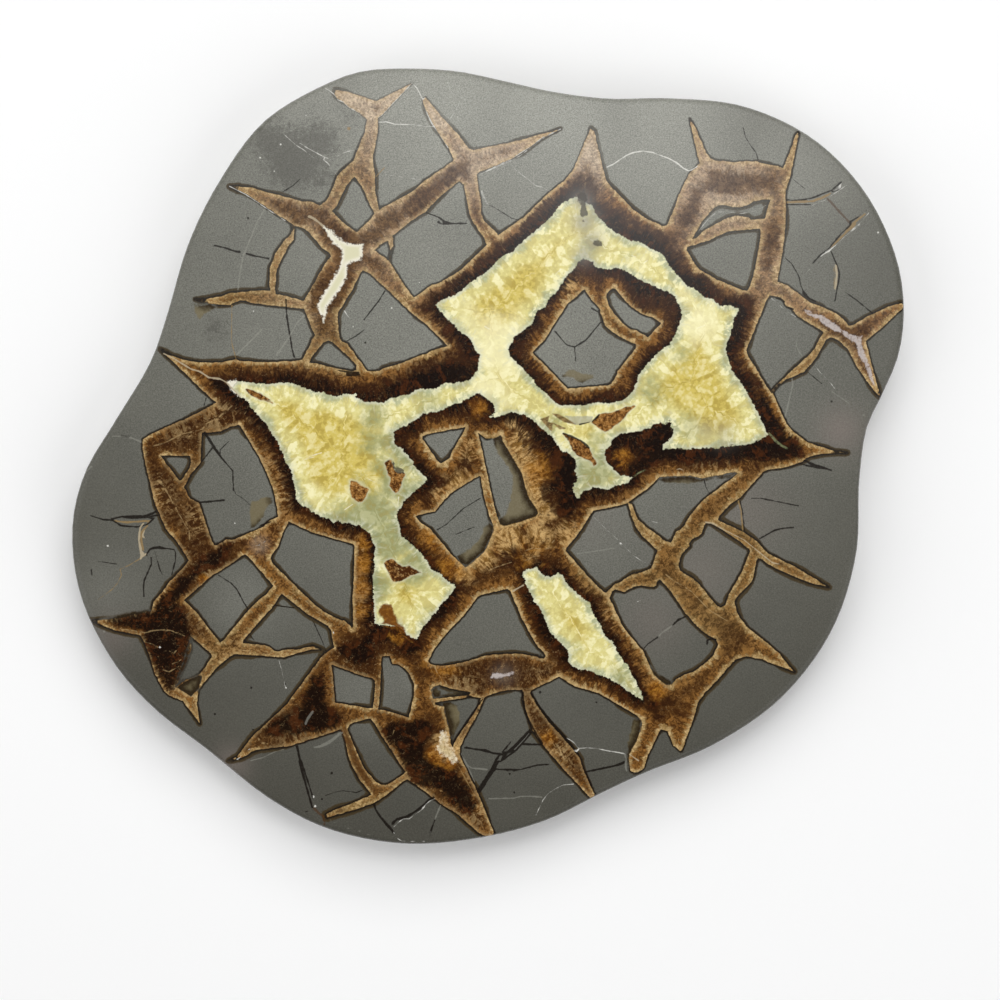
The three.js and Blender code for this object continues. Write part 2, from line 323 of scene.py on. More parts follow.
# Border of the brown ring that stands in it like an island.
STAR_ISLAND = [
    (8, 18), (4.7, 21.3), (4.3, 22.8), (4.5, 23.6), (5.2, 24.1), (5.4, 25), (6.2, 25.8), (7, 26.2),
    (8.5, 27.5), (9.4, 28), (9.8, 29), (10, 30.2), (10.4, 30.9), (12.2, 31.8), (13.2, 33.9),
    (14.3, 34.5), (14.9, 35.2), (15.2, 36.1), (17, 38.6), (18.9, 40.6), (19.3, 41.6), (20.2, 42.1),
    (22.3, 41.3), (22.8, 40.3), (24.5, 39.9), (26, 39.8), (27.5, 40), (29, 39.6), (32.2, 37.5),
    (35.5, 36.2), (37, 35.3), (38.2, 35), (39.5, 34.2), (41.1, 31.3), (41.3, 30), (41, 28.8),
    (39.5, 25), (38.7, 23.7), (36.2, 22), (33.3, 19), (32.1, 17.3), (30.9, 13.7), (29.8, 12.6),
    (28.6, 11.8), (25.8, 11.3), (23, 11.4), (20.5, 10.8), (15.5, 10.8), (14.6, 11.2), (13.6, 12),
    (12.9, 12.9), (10.6, 14.7), (10, 15.7),
]

# The smaller lens of yellow calcite below it.
LENS_FILL = [
    (22.4, -33.5), (21.9, -32.3), (21.7, -31.2), (20.1, -30.3), (17.1, -27.6), (15.9, -25.5),
    (15, -24.9), (13.2, -25.7), (12.2, -25.6), (11.4, -25), (10.2, -23.6), (9.3, -24), (8.2, -24.2),
    (7.5, -24.8), (7.3, -25.4), (7.9, -26.4), (8.2, -27.6), (10, -31.2), (10.9, -32.2),
    (12.2, -34.8), (13.2, -37.5), (17, -41.4), (17.2, -42.4), (17, -43.2), (17.3, -44), (18, -44.7),
    (19, -45.1), (20.1, -45.5), (22.3, -45.8), (23, -46.4), (25.2, -47), (28.5, -49), (31.5, -51.2),
    (33, -52), (32.8, -51), (29.8, -44.6), (28, -42.6), (26.5, -39.5), (25.2, -38.6), (24.5, -37.5),
    (24.2, -36.2), (23.2, -35),
]

# Where the brown calcite is almost black.
DARK_POOLS = {
    "arm_tip": [
        (-58.7, 16.1), (-57, 16), (-55.7, 15.3), (-52.9, 12.5), (-51.6, 12), (-53.3, 11.6),
        (-56.4, 13.5),
    ],
    "upper_arm": [
        (-22, 14.2), (-21, 14.9), (-17.8, 15.4), (-15.5, 17.6), (-13, 17.6), (-10, 19.2),
        (-6, 19.6), (-5, 18.9), (-4.7, 18.2), (-5.2, 17.5), (-7, 16.5), (-9.5, 16.1), (-10.5, 15.3),
        (-12, 14.9), (-14, 15.3), (-20, 13.4), (-21, 13.4),
    ],
    "left_knot": [
        (-63.2, -25.5), (-61.5, -22.5), (-57.4, -20.1), (-55, -18.7), (-56, -20.8), (-57.4, -22.8),
        (-58.8, -23.5), (-61.5, -24.2), (-62.9, -26.2), (-64.9, -29.3), (-66.3, -30.7),
        (-68.3, -30.7), (-67, -28.3), (-64.9, -25.9),
    ],
    "south_west_mass": [
        (-37.5, -47.5), (-35.2, -46.8), (-34.8, -49.5), (-35, -52.5), (-33, -54), (-31.8, -56),
        (-32.8, -57.5), (-36, -58.3), (-46.5, -58.9), (-47, -57.5), (-41.5, -55.2), (-39, -53.3),
    ],
    "south_mass": [
        (-21.5, -56.8), (-19.5, -56.6), (-17.5, -57), (-15.5, -56.5), (-13, -56.8), (-12, -57.8),
        (-12.4, -59.3), (-13.8, -60.3), (-13.3, -61.8), (-13.8, -63.2), (-12.2, -65), (-9, -65.8),
        (-8.5, -66.8), (-7.2, -67.5), (-4.5, -71), (-3, -73.8), (-2.8, -75), (-4, -75.5),
        (-5.5, -75), (-7.5, -73.5), (-10, -70.7), (-11.5, -70), (-13.5, -70.2), (-15.5, -69.3),
        (-19.5, -62.3), (-21.2, -60.5), (-21.6, -58.8),
    ],
    "lower_arm": [
        (-23.5, -36.6), (-20, -36.7), (-14.5, -40.8), (-16.5, -42), (-18.5, -41), (-20, -39),
        (-23, -38.3), (-24.5, -39.5), (-24.8, -42.5), (-26.5, -44), (-30, -42.8), (-31.8, -41),
        (-29, -40.2), (-26.5, -40),
    ],
    "left_tip_pool": [
        (-80.7, -34.9), (-77.9, -34.2), (-75.2, -33.6), (-72.1, -33), (-71.8, -35.1),
        (-72.1, -36.7), (-75.5, -36.4), (-78.6, -35.7),
    ],
    "left_pool": [
        (-71.8, -33.9), (-70.7, -32.4), (-69, -30), (-67.7, -30.7), (-65.6, -32.4), (-64.6, -34.1),
        (-64.1, -36.8), (-63.4, -38.5), (-64.2, -41.3), (-64.9, -44), (-65.9, -46.8), (-67, -49.2),
        (-68.3, -49.7), (-69.7, -46.8), (-71.1, -43.3), (-72.1, -40.6), (-73.1, -38.5),
        (-72.3, -36.8), (-72.6, -35.1),
    ],
    "band": [
        (31.5, -2.5), (34.5, 5.8), (38.5, 6.5), (39, 5), (37.5, 2), (40, 1.4), (44, 1.4), (56, 2.5),
        (59.5, 4.3), (61, 3.2), (63.5, 4.3), (65.5, 2.8), (66.8, 1), (66.5, -0.3), (62, -0.6),
        (57.5, -0.3), (53, -0.8), (48, -0.5), (44, -0.8), (37, -0.3), (33, -2.6),
    ],
    "east_mass": [(58, 13), (58.8, 13), (60, 9.5), (63.5, 4.5), (61, 4), (59.5, 6), (58.3, 9)],
    "central_mass": [
        (18.5, -0.6), (18.9, -1.6), (18.4, -3), (19.1, -4.8), (17.9, -6.8), (18.5, -8.2),
        (17.9, -12), (16.6, -12.8), (15.9, -11.5), (14.8, -3), (15.5, -0.5), (17.2, 0.3),
    ],
}

# Splinters of brown calcite afloat in the yellow fill.
CHIPS = {
    "arm_sliver": [
        (-51.5, 14.2), (-50, 13.9), (-48, 12.9), (-46.5, 12), (-45.9, 11.3), (-49, 12.3),
        (-50.8, 13.3),
    ],
    "crescent_chip": [
        (-21.9, -1.5), (-21.2, -0.9), (-20.6, -0.9), (-20, -2.9), (-19.3, -3.7), (-18, -3.6),
        (-17.7, -3.8), (-19, -7.4), (-19.6, -7.7), (-20.9, -6.3), (-20.6, -5.5), (-20.7, -4.5),
        (-21.2, -3.8),
    ],
    "left_chip": [
        (-29.1, -5.4), (-28.4, -5.5), (-25.5, -7.1), (-26.8, -9.6), (-27.6, -9.8), (-29, -8.7),
        (-29.4, -6.9),
    ],
    "right_chip": [
        (22.2, 7.2), (23.6, 8.8), (26.5, 9.2), (29.3, 10.4), (31.2, 10.6), (30.1, 9.7), (28.4, 7.5),
        (25.2, 5.3), (24.2, 5.5),
    ],
    "long_chip": [
        (16, 4.7), (19.5, 3.2), (21.5, 1.6), (23, -1.5), (22.6, -2.2), (22.3, -1.3), (19, 0.2),
        (18.2, 1), (17.3, 3.2),
    ],
    "wing_chip": [
        (-22.1, -22.8), (-21.2, -22.2), (-20.3, -22.1), (-18.2, -23.7), (-16.7, -23.5),
        (-14.3, -24.8), (-16.6, -25.3), (-18.5, -26.5), (-20.2, -26.7),
    ],
}

# Olive splinters beside the longest of them.
OLIVE_CHIPS = {
    "strip": [(13.7, 9), (14.9, 8.9), (18.6, 6.8), (16.2, 7.3)],
    "bit": [(11.2, 7.8), (12.9, 8.4), (12.6, 7.2), (13.6, 6.9), (13.5, 5.4)],
    "under": [(13.9, 7), (16.4, 5.9), (15.3, 5.8)],
}

# A splinter of mudstone that shows through the fill.
GREY_CHIPS = {
    "lens": [(16.5, 8.4), (22.3, 8.3), (22, 7.5), (19.5, 6.7), (18.6, 6.8)],
}

# Dark grit in the yellow fill.
GRIT_CHIPS = {
    "top_arm_chip": [(22.4, 46.1), (24.2, 45.5), (24.2, 44.7), (22.5, 44.8)],
    "crescent": [
        (-20.4, -1), (-19.6, -2), (-19, -2.7), (-18, -3.1), (-18.1, -3.7), (-19.2, -3.6),
        (-20, -2.9),
    ],
    "top_arm": [
        (19.3, 56.2), (20.6, 56), (21, 54.6), (20.6, 53.2), (20.9, 51.6), (20.3, 50), (19.8, 51.4),
        (19.9, 53), (19.2, 54.4),
    ],
}

# Olive stains, most of them inside the blocks.
OLIVE_STAINS = {
    "left_big": [
        (-50.2, -9.7), (-47.5, -8.8), (-45.9, -8.9), (-45.9, -9.9), (-46.9, -10.7), (-47.7, -11.9),
        (-47.8, -12.8), (-49.7, -15.3), (-50.3, -15.2), (-50.8, -12.5),
    ],
    "left_tip": [
        (-62.5, 32.3), (-61, 32), (-59, 32.4), (-58, 31.6), (-60.4, 30.2), (-61.4, 29.2),
        (-62.3, 30.6),
    ],
    "island": [
        (15.6, 16.8), (16.4, 17.8), (17.6, 18.3), (22.3, 17.2), (22.3, 16.5), (20, 15.6),
        (18.8, 15.9), (17.9, 16.8),
    ],
    "wedge": [
        (1, 3.6), (2.8, 4.6), (3.8, 2.8), (8, -3.6), (10, -9.5), (11.5, -12.6), (6, -15),
        (1.8, -15.6), (2.2, -13.8), (4, -12), (4.9, -9), (5.2, -6.6), (5.3, -4.4), (4.2, -2.4),
        (2, 0.8),
    ],
    "below_band": [
        (36.3, -5), (37, -4.5), (43, -4.4), (45.4, -4.9), (52.6, -3.6), (51.5, -4.7), (47.5, -4.9),
        (45.5, -5.6), (42, -5.9), (38, -5.6),
    ],
    "centre_lower": [
        (0.3, -14.3), (-0.9, -15.5), (-2.2, -18.3), (-3.4, -19.5), (-6.5, -21.3), (-6, -22.5),
        (-4.8, -23.6), (-0.8, -20.2), (1, -16.4), (1.1, -15),
    ],
    "sliver": [(-11.9, -49.5), (-10.8, -49.2), (-10.2, -50), (-10.1, -51.2), (-11.6, -51.5)],
    "stained_wedge": [
        (-9.6, -52.6), (-8, -52.3), (-6.7, -53), (-6.2, -54.5), (-6, -56.2), (-7.3, -60),
        (-8.1, -59.5),
    ],
    "thumb_side": [(31, -56), (32.6, -56.2), (32.2, -60), (31.2, -63.6), (29.8, -66), (29.8, -61)],
    "left_tip_shadow": [
        (-82.4, -34.9), (-78.9, -34), (-75.5, -33.2), (-72.1, -32.7), (-72.3, -33.4),
        (-75.5, -34.1), (-78.9, -34.9),
    ],
    "wedge_side": MUDSTONE_BLOCKS["wedge_side"],
    "foot_side": MUDSTONE_BLOCKS["foot_side"],
    "south_low": [
        (34.5, -44.8), (35.6, -46), (39.2, -48.2), (38.8, -48.7), (37.6, -48.6), (36, -47.6),
        (35, -46.4),
    ],
}

# Pools of white and cream calcite inside the veins.
PALE_POOLS = {
    "arm_tip": [
        (-55.5, 15.8), (-53.6, 16), (-53.3, 15.5), (-51.6, 15), (-50.7, 14), (-52.5, 13.9),
        (-52.2, 12.7), (-52.9, 12.6), (-54.6, 14.2),
    ],
    "sugar": [
        (-10, -58.6), (-8.9, -59), (-8.4, -60.2), (-8.8, -61.3), (-7.6, -62.2), (-7, -63.6),
        (-6.4, -65), (-7.4, -65.4), (-8.4, -64.2), (-9.8, -63.6), (-11, -62.2), (-10.2, -60.8),
    ],
    "cream_seam": [
        (-35.1, 49), (-33.1, 47.7), (-32, 46.4), (-30.7, 45.6), (-29.6, 45.1), (-26.6, 45),
        (-26.9, 44), (-26.7, 42.7), (-27.2, 41.9), (-29.4, 41.2), (-30, 40.8), (-30.1, 38),
        (-31.8, 35.1), (-34.3, 31.9), (-34.9, 28.4), (-35.2, 29.7), (-36, 30.8), (-36.2, 32.3),
        (-31.6, 39.9), (-31.1, 41.6), (-31, 43.6), (-31.6, 44.5), (-32.9, 45.3),
    ],
}

# Pools of lilac-grey calcite inside the veins.
LILAC_POOLS = {
    "lilac_seam": [
        (67.5, 31.1), (68.7, 30.7), (69.3, 30.1), (70.5, 30), (73.8, 28.1), (75.3, 26.8),
        (77.5, 25.6), (78.4, 25.3), (79.5, 25.6), (79.2, 24.9), (79.3, 24), (81.4, 18.4),
        (82.3, 15.1), (81.9, 15.4), (81.2, 16.8), (80.4, 19.3), (79.1, 21.3), (78.2, 24.3),
        (77.3, 24.6), (75.3, 26.2), (74.2, 26.5), (72.1, 27.6), (70.2, 29.2), (68, 30.2),
        (67.5, 30.7),
    ],
    "lens_vein": [
        (0.6, -47.2), (1, -46.4), (2.2, -46.2), (3.2, -46.5), (5.4, -46), (5.3, -46.4),
        (3.4, -46.9), (2, -47.3),
    ],
}

# Cracks, threads and seams: the width of each and the points it runs through.
THREADS = {
    "crack": [
        (0.28, [(-13.1, 51.8), (-10.5, 50.8), (-9.2, 49.9), (-8, 49.5), (-4.6, 49.5)]),
        (0.2, [(-10.6, 49.7), (-9.5, 49.3), (-6.5, 49.4)]),
        (0.2, [(-43.7, 56.2), (-41.5, 57.5), (-40, 58.9)]),
        (0.35, [(-58.2, 44.8), (-56, 44.3), (-54, 43.6), (-52.8, 43.4)]),
        (0.35, [(-51.5, 43.1), (-49.8, 42.6), (-46.6, 42)]),
        (0.32, [(-43, 33.4), (-42.8, 29.6), (-42.1, 25.4), (-41.7, 22.8), (-41.2, 21)]),
        (0.25, [(-21.9, 35.2), (-23.4, 32.8), (-26.4, 29)]),
        (0.2, [(-30, 24.5), (-28, 25.6), (-26.4, 26.8)]),
        (0.5, [(-60.3, 5), (-57, 0)]),
        (0.25, [(-57, 0), (-54.3, -3.2), (-54.2, -7.3)]),
        (0.25, [(-62, -2.7), (-58.6, 1.8)]),
        (0.15, [(-57, 1.3), (-55.1, 3.2)]),
        (0.35, [(-78, 4.2), (-76.3, 4.1)]),
        (0.2, [(-60, 12.3), (-60.4, 10.8)]),
        (0.3, [(-32, 18.3), (-30, 17.9), (-27.6, 17.8)]),
        (0.5, [(-30, 17.2), (-27.5, 17.3)]),
        (0.3, [
            (-84.5, -12.7), (-82, -13.5), (-80, -13.7), (-79, -14.2), (-78.3, -14.8),
            (-74.5, -15.1), (-72.6, -14.6), (-71.2, -13.4),
        ]),
        (0.35, [(-80, -13.4), (-78, -12.9), (-73, -12.7), (-71.3, -12.2), (-70.6, -11.7)]),
        (0.2, [(-77, -13.2), (-75, -13.3), (-72.8, -13.1), (-70.2, -12.6)]),
        (0.25, [
            (-72.8, -21.1), (-71.9, -19.8), (-70.9, -19.4), (-69.8, -19.3), (-68.5, -19.7),
            (-66.8, -19.9), (-66.5, -20.5), (-66.5, -22.2), (-67.3, -25.3),
        ]),
        (0.5, [(-71.3, -19.6), (-70.3, -19.5), (-69.3, -19.6)]),
        (0.12, [(-70.9, -20.3), (-69.8, -24.2), (-69.3, -25.2)]),
        (0.3, [(-71.7, -21.6), (-71.6, -23), (-73.1, -26.3), (-73.3, -27.8), (-73.2, -29.9)]),
        (0.25, [(-84.4, -24.2), (-84.3, -25.3)]),
        (0.1, [(-83, -22.4), (-79, -23)]),
        (0.12, [(-54.2, -5.5), (-54, -7.3), (-53.7, -8.1), (-52.2, -9), (-50.4, -10.6)]),
        (0.35, [(-56.2, -9.4), (-61.5, -9.9)]),
        (0.3, [(-48.6, -14.9), (-46.2, -13.9)]),
        (0.2, [(-57.4, -25.3), (-54.6, -27.1), (-53.4, -28.4), (-51.9, -31.3), (-51, -32.7)]),
        (0.2, [(-45.4, -31.8), (-41.2, -32.3)]),
        (0.15, [(0, 53.5), (1.5, 52.8), (5, 50.6), (6.5, 50.2)]),
        (0.3, [(22, 31.5), (23.5, 30.6)]),
        (0.25, [
            (14.3, 26.5), (16.3, 24.1), (16.9, 23.6), (18.4, 23.2), (20.8, 24.6), (23.9, 28.4),
            (24.5, 28.6),
        ]),
        (0.12, [(18.4, 23.2), (18.7, 20.3)]),
        (0.15, [(54.3, 69.8), (54.8, 67.8), (55.9, 66), (57, 64.6), (57.5, 63)]),
        (0.35, [(16, 4.8), (18, 4.1), (19.6, 3.3), (20.9, 2.4), (21.5, 1.7)]),
        (0.3, [(22.2, 7.3), (23.7, 8.8)]),
        (0.25, [(19.5, 6.7), (21.5, 7.2)]),
        (0.15, [(46, -5), (46.3, -6.5), (47.2, -8.2)]),
        (0.35, [(67.3, -0.9), (69, -1.7), (73, -3)]),
        (0.25, [(66.2, -1.6), (70.5, -2.6)]),
        (0.3, [(67, 34.4), (68.4, 33.5), (69.7, 32.9)]),
        (0.3, [(61.4, 33.6), (62.6, 33.2), (63, 32.8)]),
        (0.3, [(63.4, 31.7), (64.9, 31.2)]),
        (0.2, [
            (63.2, 42.2), (64.6, 40.9), (65.7, 39.1), (66.2, 38), (66.5, 36.5), (67, 35.2),
            (67.9, 34.2),
        ]),
        (0.3, [(77, 49), (75.2, 47.4), (72.3, 43.9), (70.5, 42.6), (69.1, 41)]),
        (0.25, [(73, 43.5), (74.3, 40.5), (74.7, 39.2), (74.7, 37.8), (73.8, 33)]),
        (0.2, [(76, 34.9), (78.5, 33.1), (81.9, 30.3)]),
        (0.15, [(68, 17.9), (71, 15.4)]),
        (0.15, [(-1.5, -8.9), (-5.3, -11.2), (-8.8, -14.5), (-10.8, -15.7)]),
        (0.1, [(-3, -15.1), (-6.9, -16.7)]),
        (0.25, [(41.8, -34.2), (40.5, -34.7), (39.7, -35.6)]),
        (0.2, [(53.6, -9.5), (54.1, -11.5), (54.6, -15.8)]),
        (0.2, [(56, -9), (58, -9), (66, -10.6)]),
        (0.3, [(57.8, -17.6), (61, -15.8), (62.5, -15.4), (65, -15.2)]),
        (0.3, [(63.4, 54.5), (65, 54.4), (67, 54.5), (69, 54.9), (73, 56.5), (75.2, 58.3)]),
        (0.2, [(63.6, 53.5), (68.6, 53.5)]),
        (0.2, [(73.4, 56.2), (75, 56.8)]),
        (0.3, [(77, 49.8), (78.5, 50.7), (81.3, 53)]),
        (0.1, [(65, 58.8), (67.5, 56.8)]),
        (0.12, [(-50.7, -38), (-49.8, -39.2)]),
        (0.12, [(-37.3, -35), (-35.2, -39.5), (-34.5, -41.5)]),
        (0.45, [(9, -58.5), (4.8, -63)]),
        (0.2, [(7.2, -61.4), (9, -61.5), (11.5, -61.4)]),
        (0.15, [(4.8, -60.9), (3.3, -62.6)]),
        (0.2, [(-5, -62.1), (-0.5, -62.5), (0.8, -63), (3.3, -63.4)]),
        (0.2, [(33.2, -40.9), (34, -40), (36.3, -38.4)]),
        (0.25, [(39.2, -36.1), (40.1, -35.2), (42, -34.2)]),
        (0.3, [(46.6, -40), (46.6, -39.2), (47.5, -38.9), (48.4, -39)]),
        (0.45, [(20.8, -67.2), (27, -65.9), (28.3, -65.5), (29, -65.1)]),
        (0.35, [(20.4, -66.7), (22, -70)]),
        (0.5, [(-40.7, -61.6), (-40, -64.6)]),
        (0.35, [(-40.2, -65), (-37.4, -74.8)]),
        (0.25, [(-39.6, -65.2), (-37.2, -72.8)]),
        (0.25, [(-37.6, -75.3), (-39.5, -75.9)]),
        (0.12, [(-34.5, -72.2), (-32.5, -71.5), (-31, -71.2), (-28, -71.6), (-26.5, -71)]),
        (0.45, [(-24.3, -74), (-23.9, -75.2), (-23, -76.7), (-20, -80.2)]),
        (0.5, [
            (-20.3, -78.2), (-19.4, -77.3), (-17, -76.6), (-15.8, -75.9), (-13.5, -74.2),
            (-12.5, -73.1), (-11.5, -72.6),
        ]),
        (0.3, [(-12.8, -81.3), (-12.2, -80), (-11.3, -77.3)]),
        (0.35, [(-2.2, -71), (0.6, -66.8), (1.4, -65.2), (2.6, -63.4)]),
        (0.3, [(-1.7, -71.5), (1.3, -66.8), (2.2, -65)]),
        (0.35, [(-4.6, -62), (-3, -62.4), (-1.5, -62.5), (1, -63.3), (3.6, -63.6)]),
        (0.3, [(8.9, -58.2), (4.2, -63), (3.3, -63.7)]),
        (0.3, [(9.3, -58.9), (6, -62.6), (2.7, -65)]),
        (0.2, [(3, -63), (4.8, -60.9)]),
        (0.3, [(7, -61.2), (11.5, -61.4)]),
        (0.25, [(1.3, -66.6), (7, -66.7), (10.3, -65.8), (13, -65.6)]),
        (0.5, [(9.1, -50.4), (10.8, -53.3), (13.9, -57.1), (17, -60.5), (19.2, -63.6)]),
        (0.4, [(7.4, -50.4), (7.9, -54.7), (9.5, -57.8), (11.5, -61.2)]),
        (0.3, [(-1.1, -51.7), (-2.9, -54.1), (-5.9, -58.5), (-7.2, -60.7)]),
    ],
    "white_thread": [
        (0.2, [
            (-23.3, 71), (-21.7, 71.1), (-19.8, 70.6), (-15.5, 70.5), (-14, 70.2), (-11.4, 70.1),
        ]),
        (0.23, [(-16.1, 79.4), (-15, 78.1), (-13.9, 75.9), (-13.4, 76.3)]),
        (0.16, [(-13.8, 75), (-12.2, 71)]),
        (0.23, [(-16.1, 79.4), (-22.6, 72.5), (-23.3, 72)]),
        (0.23, [(-35.3, 78.6), (-33.8, 77.8), (-32.7, 76.9)]),
        (0.2, [(-32, 75.8), (-30.7, 75.3), (-29.8, 74.3), (-27.4, 73)]),
        (0.16, [(-8.7, 81.6), (-8.6, 79.5), (-7.9, 77.7), (-7.2, 76.5)]),
        (0.13, [(-6.2, 74.8), (-7.3, 72.8), (-8.6, 71.1)]),
        (0.1, [(-6.7, 72.8), (-6.1, 71)]),
        (0.14, [(-31.9, 63.9), (-30, 64.8), (-28.6, 65), (-27.7, 65.4)]),
        (0.14, [(-11.3, 69.8), (-8.5, 65.6)]),
        (0.08, [(-22, 59.9), (-14.6, 58.8)]),
        (0.1, [(-1.8, 59.9), (6.7, 63.8), (11.3, 67.3), (15.4, 69.6)]),
        (0.07, [(-1.5, 56.2), (-0.5, 53.9), (1, 53)]),
        (0.18, [(-43.6, 68.6), (-40.8, 66.1), (-39.3, 65.2), (-37, 63.4)]),
        (0.14, [(-40, 66.6), (-38, 65.3), (-34.8, 63.6), (-33.5, 63.1)]),
        (0.13, [(-35, 63), (-34, 62.2), (-32.2, 59.8)]),
        (0.2, [(-55, 57.4), (-51.6, 55.7), (-48.5, 53.7), (-46.8, 52.4), (-43.1, 50.1)]),
        (0.26, [(-30.6, 30.9), (-29.7, 29.6)]),
        (0.16, [
            (-1.5, 60), (1.5, 61.6), (4.2, 62.7), (9.5, 66.2), (12, 68.1), (14, 68.8), (15.5, 69.6),
        ]),
        (0.13, [(4.4, 62.5), (6, 60.8), (10.2, 57.5), (11.5, 57.2), (13.2, 56.3)]),
        (0.08, [(0, 53.5), (-1.3, 56.5)]),
        (0.33, [
            (25.3, 61.5), (26.5, 62), (29.5, 64), (31, 64.6), (33, 64.9), (35, 64.6), (38.5, 63.3),
            (40, 62.5), (41.5, 61.3), (42.6, 60.7), (43.5, 60.9), (44.5, 61.7),
        ]),
        (0.1, [
            (44.9, 48), (47, 50.6), (48, 51.4), (49, 51.9), (50.5, 52), (54, 51.6), (56, 51.9),
            (57.5, 52.4), (59.2, 53.4),
        ]),
        (0.1, [(60.3, 33.6), (63.5, 30.8), (65.5, 29.6)]),
        (0.13, [(79, 49), (76, 46.8), (74.5, 45.3), (70.8, 42.5)]),
        (0.07, [(69, 40.3), (68.2, 39.5)]),
        (0.1, [(69.3, 19.6), (70.5, 18), (73, 15.4), (73.8, 14.3)]),
        (0.1, [(22.7, -13.1), (24, -14.5), (27.6, -17.8)]),
        (0.08, [(28.6, -18.8), (31, -21.2), (32.5, -22.2), (34.7, -23.2)]),
        (0.16, [(34.9, -13.9), (36, -14.2)]),
        (0.13, [(31.8, -31), (32.5, -30.7)]),
        (0.14, [(68.9, 53.3), (71.8, 54.5)]),
        (0.13, [(72.3, 54.9), (76.3, 57.6)]),
        (0.16, [(73.6, 56.4), (75.2, 58), (77.3, 59.2)]),
        (0.13, [(76.5, 47.2), (78, 48.7), (79.2, 49.6), (81, 51.7), (81.6, 53)]),
        (0.08, [(-44.5, -43.5), (-43.9, -45.5), (-43.1, -49.2)]),
        (0.14, [
            (16.8, -60), (18.2, -60.9), (19.3, -62.2), (21, -62.1), (23, -62.2), (27.5, -63),
            (29.3, -63.6),
        ]),
        (0.23, [(25.2, -62.7), (29.2, -63.3)]),
        (0.2, [(-55.3, -65), (-53.3, -64.5), (-52.6, -64)]),
        (0.16, [
            (-20, -78.9), (-19, -77.9), (-18, -77.2), (-16.8, -77.2), (-14, -75.2), (-13.3, -74.2),
            (-12.4, -73.4), (-11.3, -72.9),
        ]),
        (0.2, [
            (-20, -80.2), (-19.4, -81.2), (-18.5, -81.9), (-16.5, -82.1), (-14.5, -81.8),
            (-13.5, -82.1), (-12.9, -81.5), (-12, -79.5),
        ]),
        (0.2, [(18.2, -62.7), (18.8, -62.9), (19.3, -62.4)]),
        (0.14, [
            (10.2, -76.4), (11.7, -73.2), (12.8, -71.8), (14.3, -70.8), (16, -70), (18.2, -69.8),
        ]),
    ],
    "pale_thread": [
        (0.2, [(-47.5, 52.5), (-49, 50), (-52.1, 42.5), (-52.8, 39), (-53.2, 35.4)]),
        (0.25, [(-53.5, 21.5), (-48, 27)]),
        (0.25, [(-45, 21.5), (-42.5, 25), (-40.5, 28.5), (-39, 30)]),
        (0.3, [(-80.5, 4.2), (-76.2, 4), (-73.8, 3)]),
        (0.4, [(-84.2, -2), (-85.7, -3.2)]),
        (0.3, [(22.4, 31.8), (23.4, 31.2)]),
        (0.1, [(74.5, 36), (76, 34.9)]),
        (0.12, [(73.2, 13.7), (76.8, 11.2)]),
        (0.2, [(64.7, 16.5), (64.8, 15), (63.2, 8.2)]),
        (0.1, [(65.7, 24.8), (65.6, 23.5), (66.2, 22.2), (66.9, 21.2)]),
        (0.12, [(19, -20.8), (27, -19.6)]),
        (0.12, [(-36, -62), (-33.8, -61.2), (-30.9, -58.8)]),
        (0.2, [(8.6, -59.1), (7.2, -60.8), (5.6, -62.4)]),
        (0.2, [(36.3, -38.4), (37, -37.6), (39.2, -36.1)]),
        (0.2, [(29.1, -63.5), (29.4, -64.5), (29.3, -66), (29.5, -67)]),
        (0.2, [(-54.8, -66.3), (-53.5, -65.8)]),
        (0.12, [(-50.5, -64.8), (-48, -64.2), (-45.5, -63), (-43.5, -62.4)]),
        (0.12, [(-37, -62), (-35.5, -61.5), (-33.5, -60.4), (-31.5, -58.9)]),
        (0.15, [(-33.8, -77.3), (-31.5, -78.8), (-27.5, -79.8), (-23, -81.4)]),
        (0.15, [(-5.7, -63.3), (-2.9, -69.3)]),
        (0.15, [(-11.3, -77.3), (-10.1, -74.3)]),
        (0.2, [(-4.4, -65.8), (-3.5, -66.4), (-0.2, -66.7)]),
        (0.4, [(-37.3, -54.4), (-38.4, -56), (-38.8, -57)]),
        (0.15, [(0.2, -72.9), (5.5, -72.8), (7, -72.4), (9.5, -72.4), (11.5, -72.6)]),
    ],
    "cream_thread": [
        (0.5, [(-38.1, 51), (-37, 50.5), (-34.9, 48.8)]),
        (0.35, [
            (-69, 21.8), (-66.8, 20.7), (-63.4, 18.6), (-61.2, 17.9), (-59.4, 16.7), (-57, 16.4),
            (-55.7, 15.7), (-52.7, 12.6),
        ]),
        (0.4, [
            (-73.3, -14.3), (-74, -15.2), (-74.2, -16.5), (-74.3, -18), (-73.8, -20.8),
            (-73.9, -21.8),
        ]),
        (0.25, [(-73.1, -15.9), (-73.5, -16.8), (-73.2, -17.4)]),
        (0.4, [(-73.8, -20.2), (-73.4, -21.2), (-72.8, -20.9)]),
        (0.15, [(40.1, -2.9), (40.8, -2.7), (41.5, -3), (41.6, -3.5)]),
        (0.45, [(74, 40.6), (74.2, 38.8), (73.9, 35.5)]),
        (0.25, [(46.3, -14.1), (48, -14.3), (50, -15.6), (54.4, -17.8), (60.5, -22.7), (62, -23)]),
        (0.25, [(30, -63.4), (32, -64.8)]),
        (0.3, [(5.2, -28.8), (7.5, -27.5)]),
    ],
    "tan_thread": [
        (0.35, [(-23.9, 59.4), (-22, 61.4)]),
        (0.3, [
            (-73, -21.2), (-76.5, -23.3), (-78.3, -24.1), (-78, -25.4), (-78.8, -27), (-80, -28.4),
        ]),
        (0.2, [(-80, -28.4), (-83, -30.6)]),
        (0.6, [(78, 49.1), (76.2, 47.6), (73, 44.4)]),
        (0.25, [(73.6, 40.2), (73.7, 38), (73.6, 35.6)]),
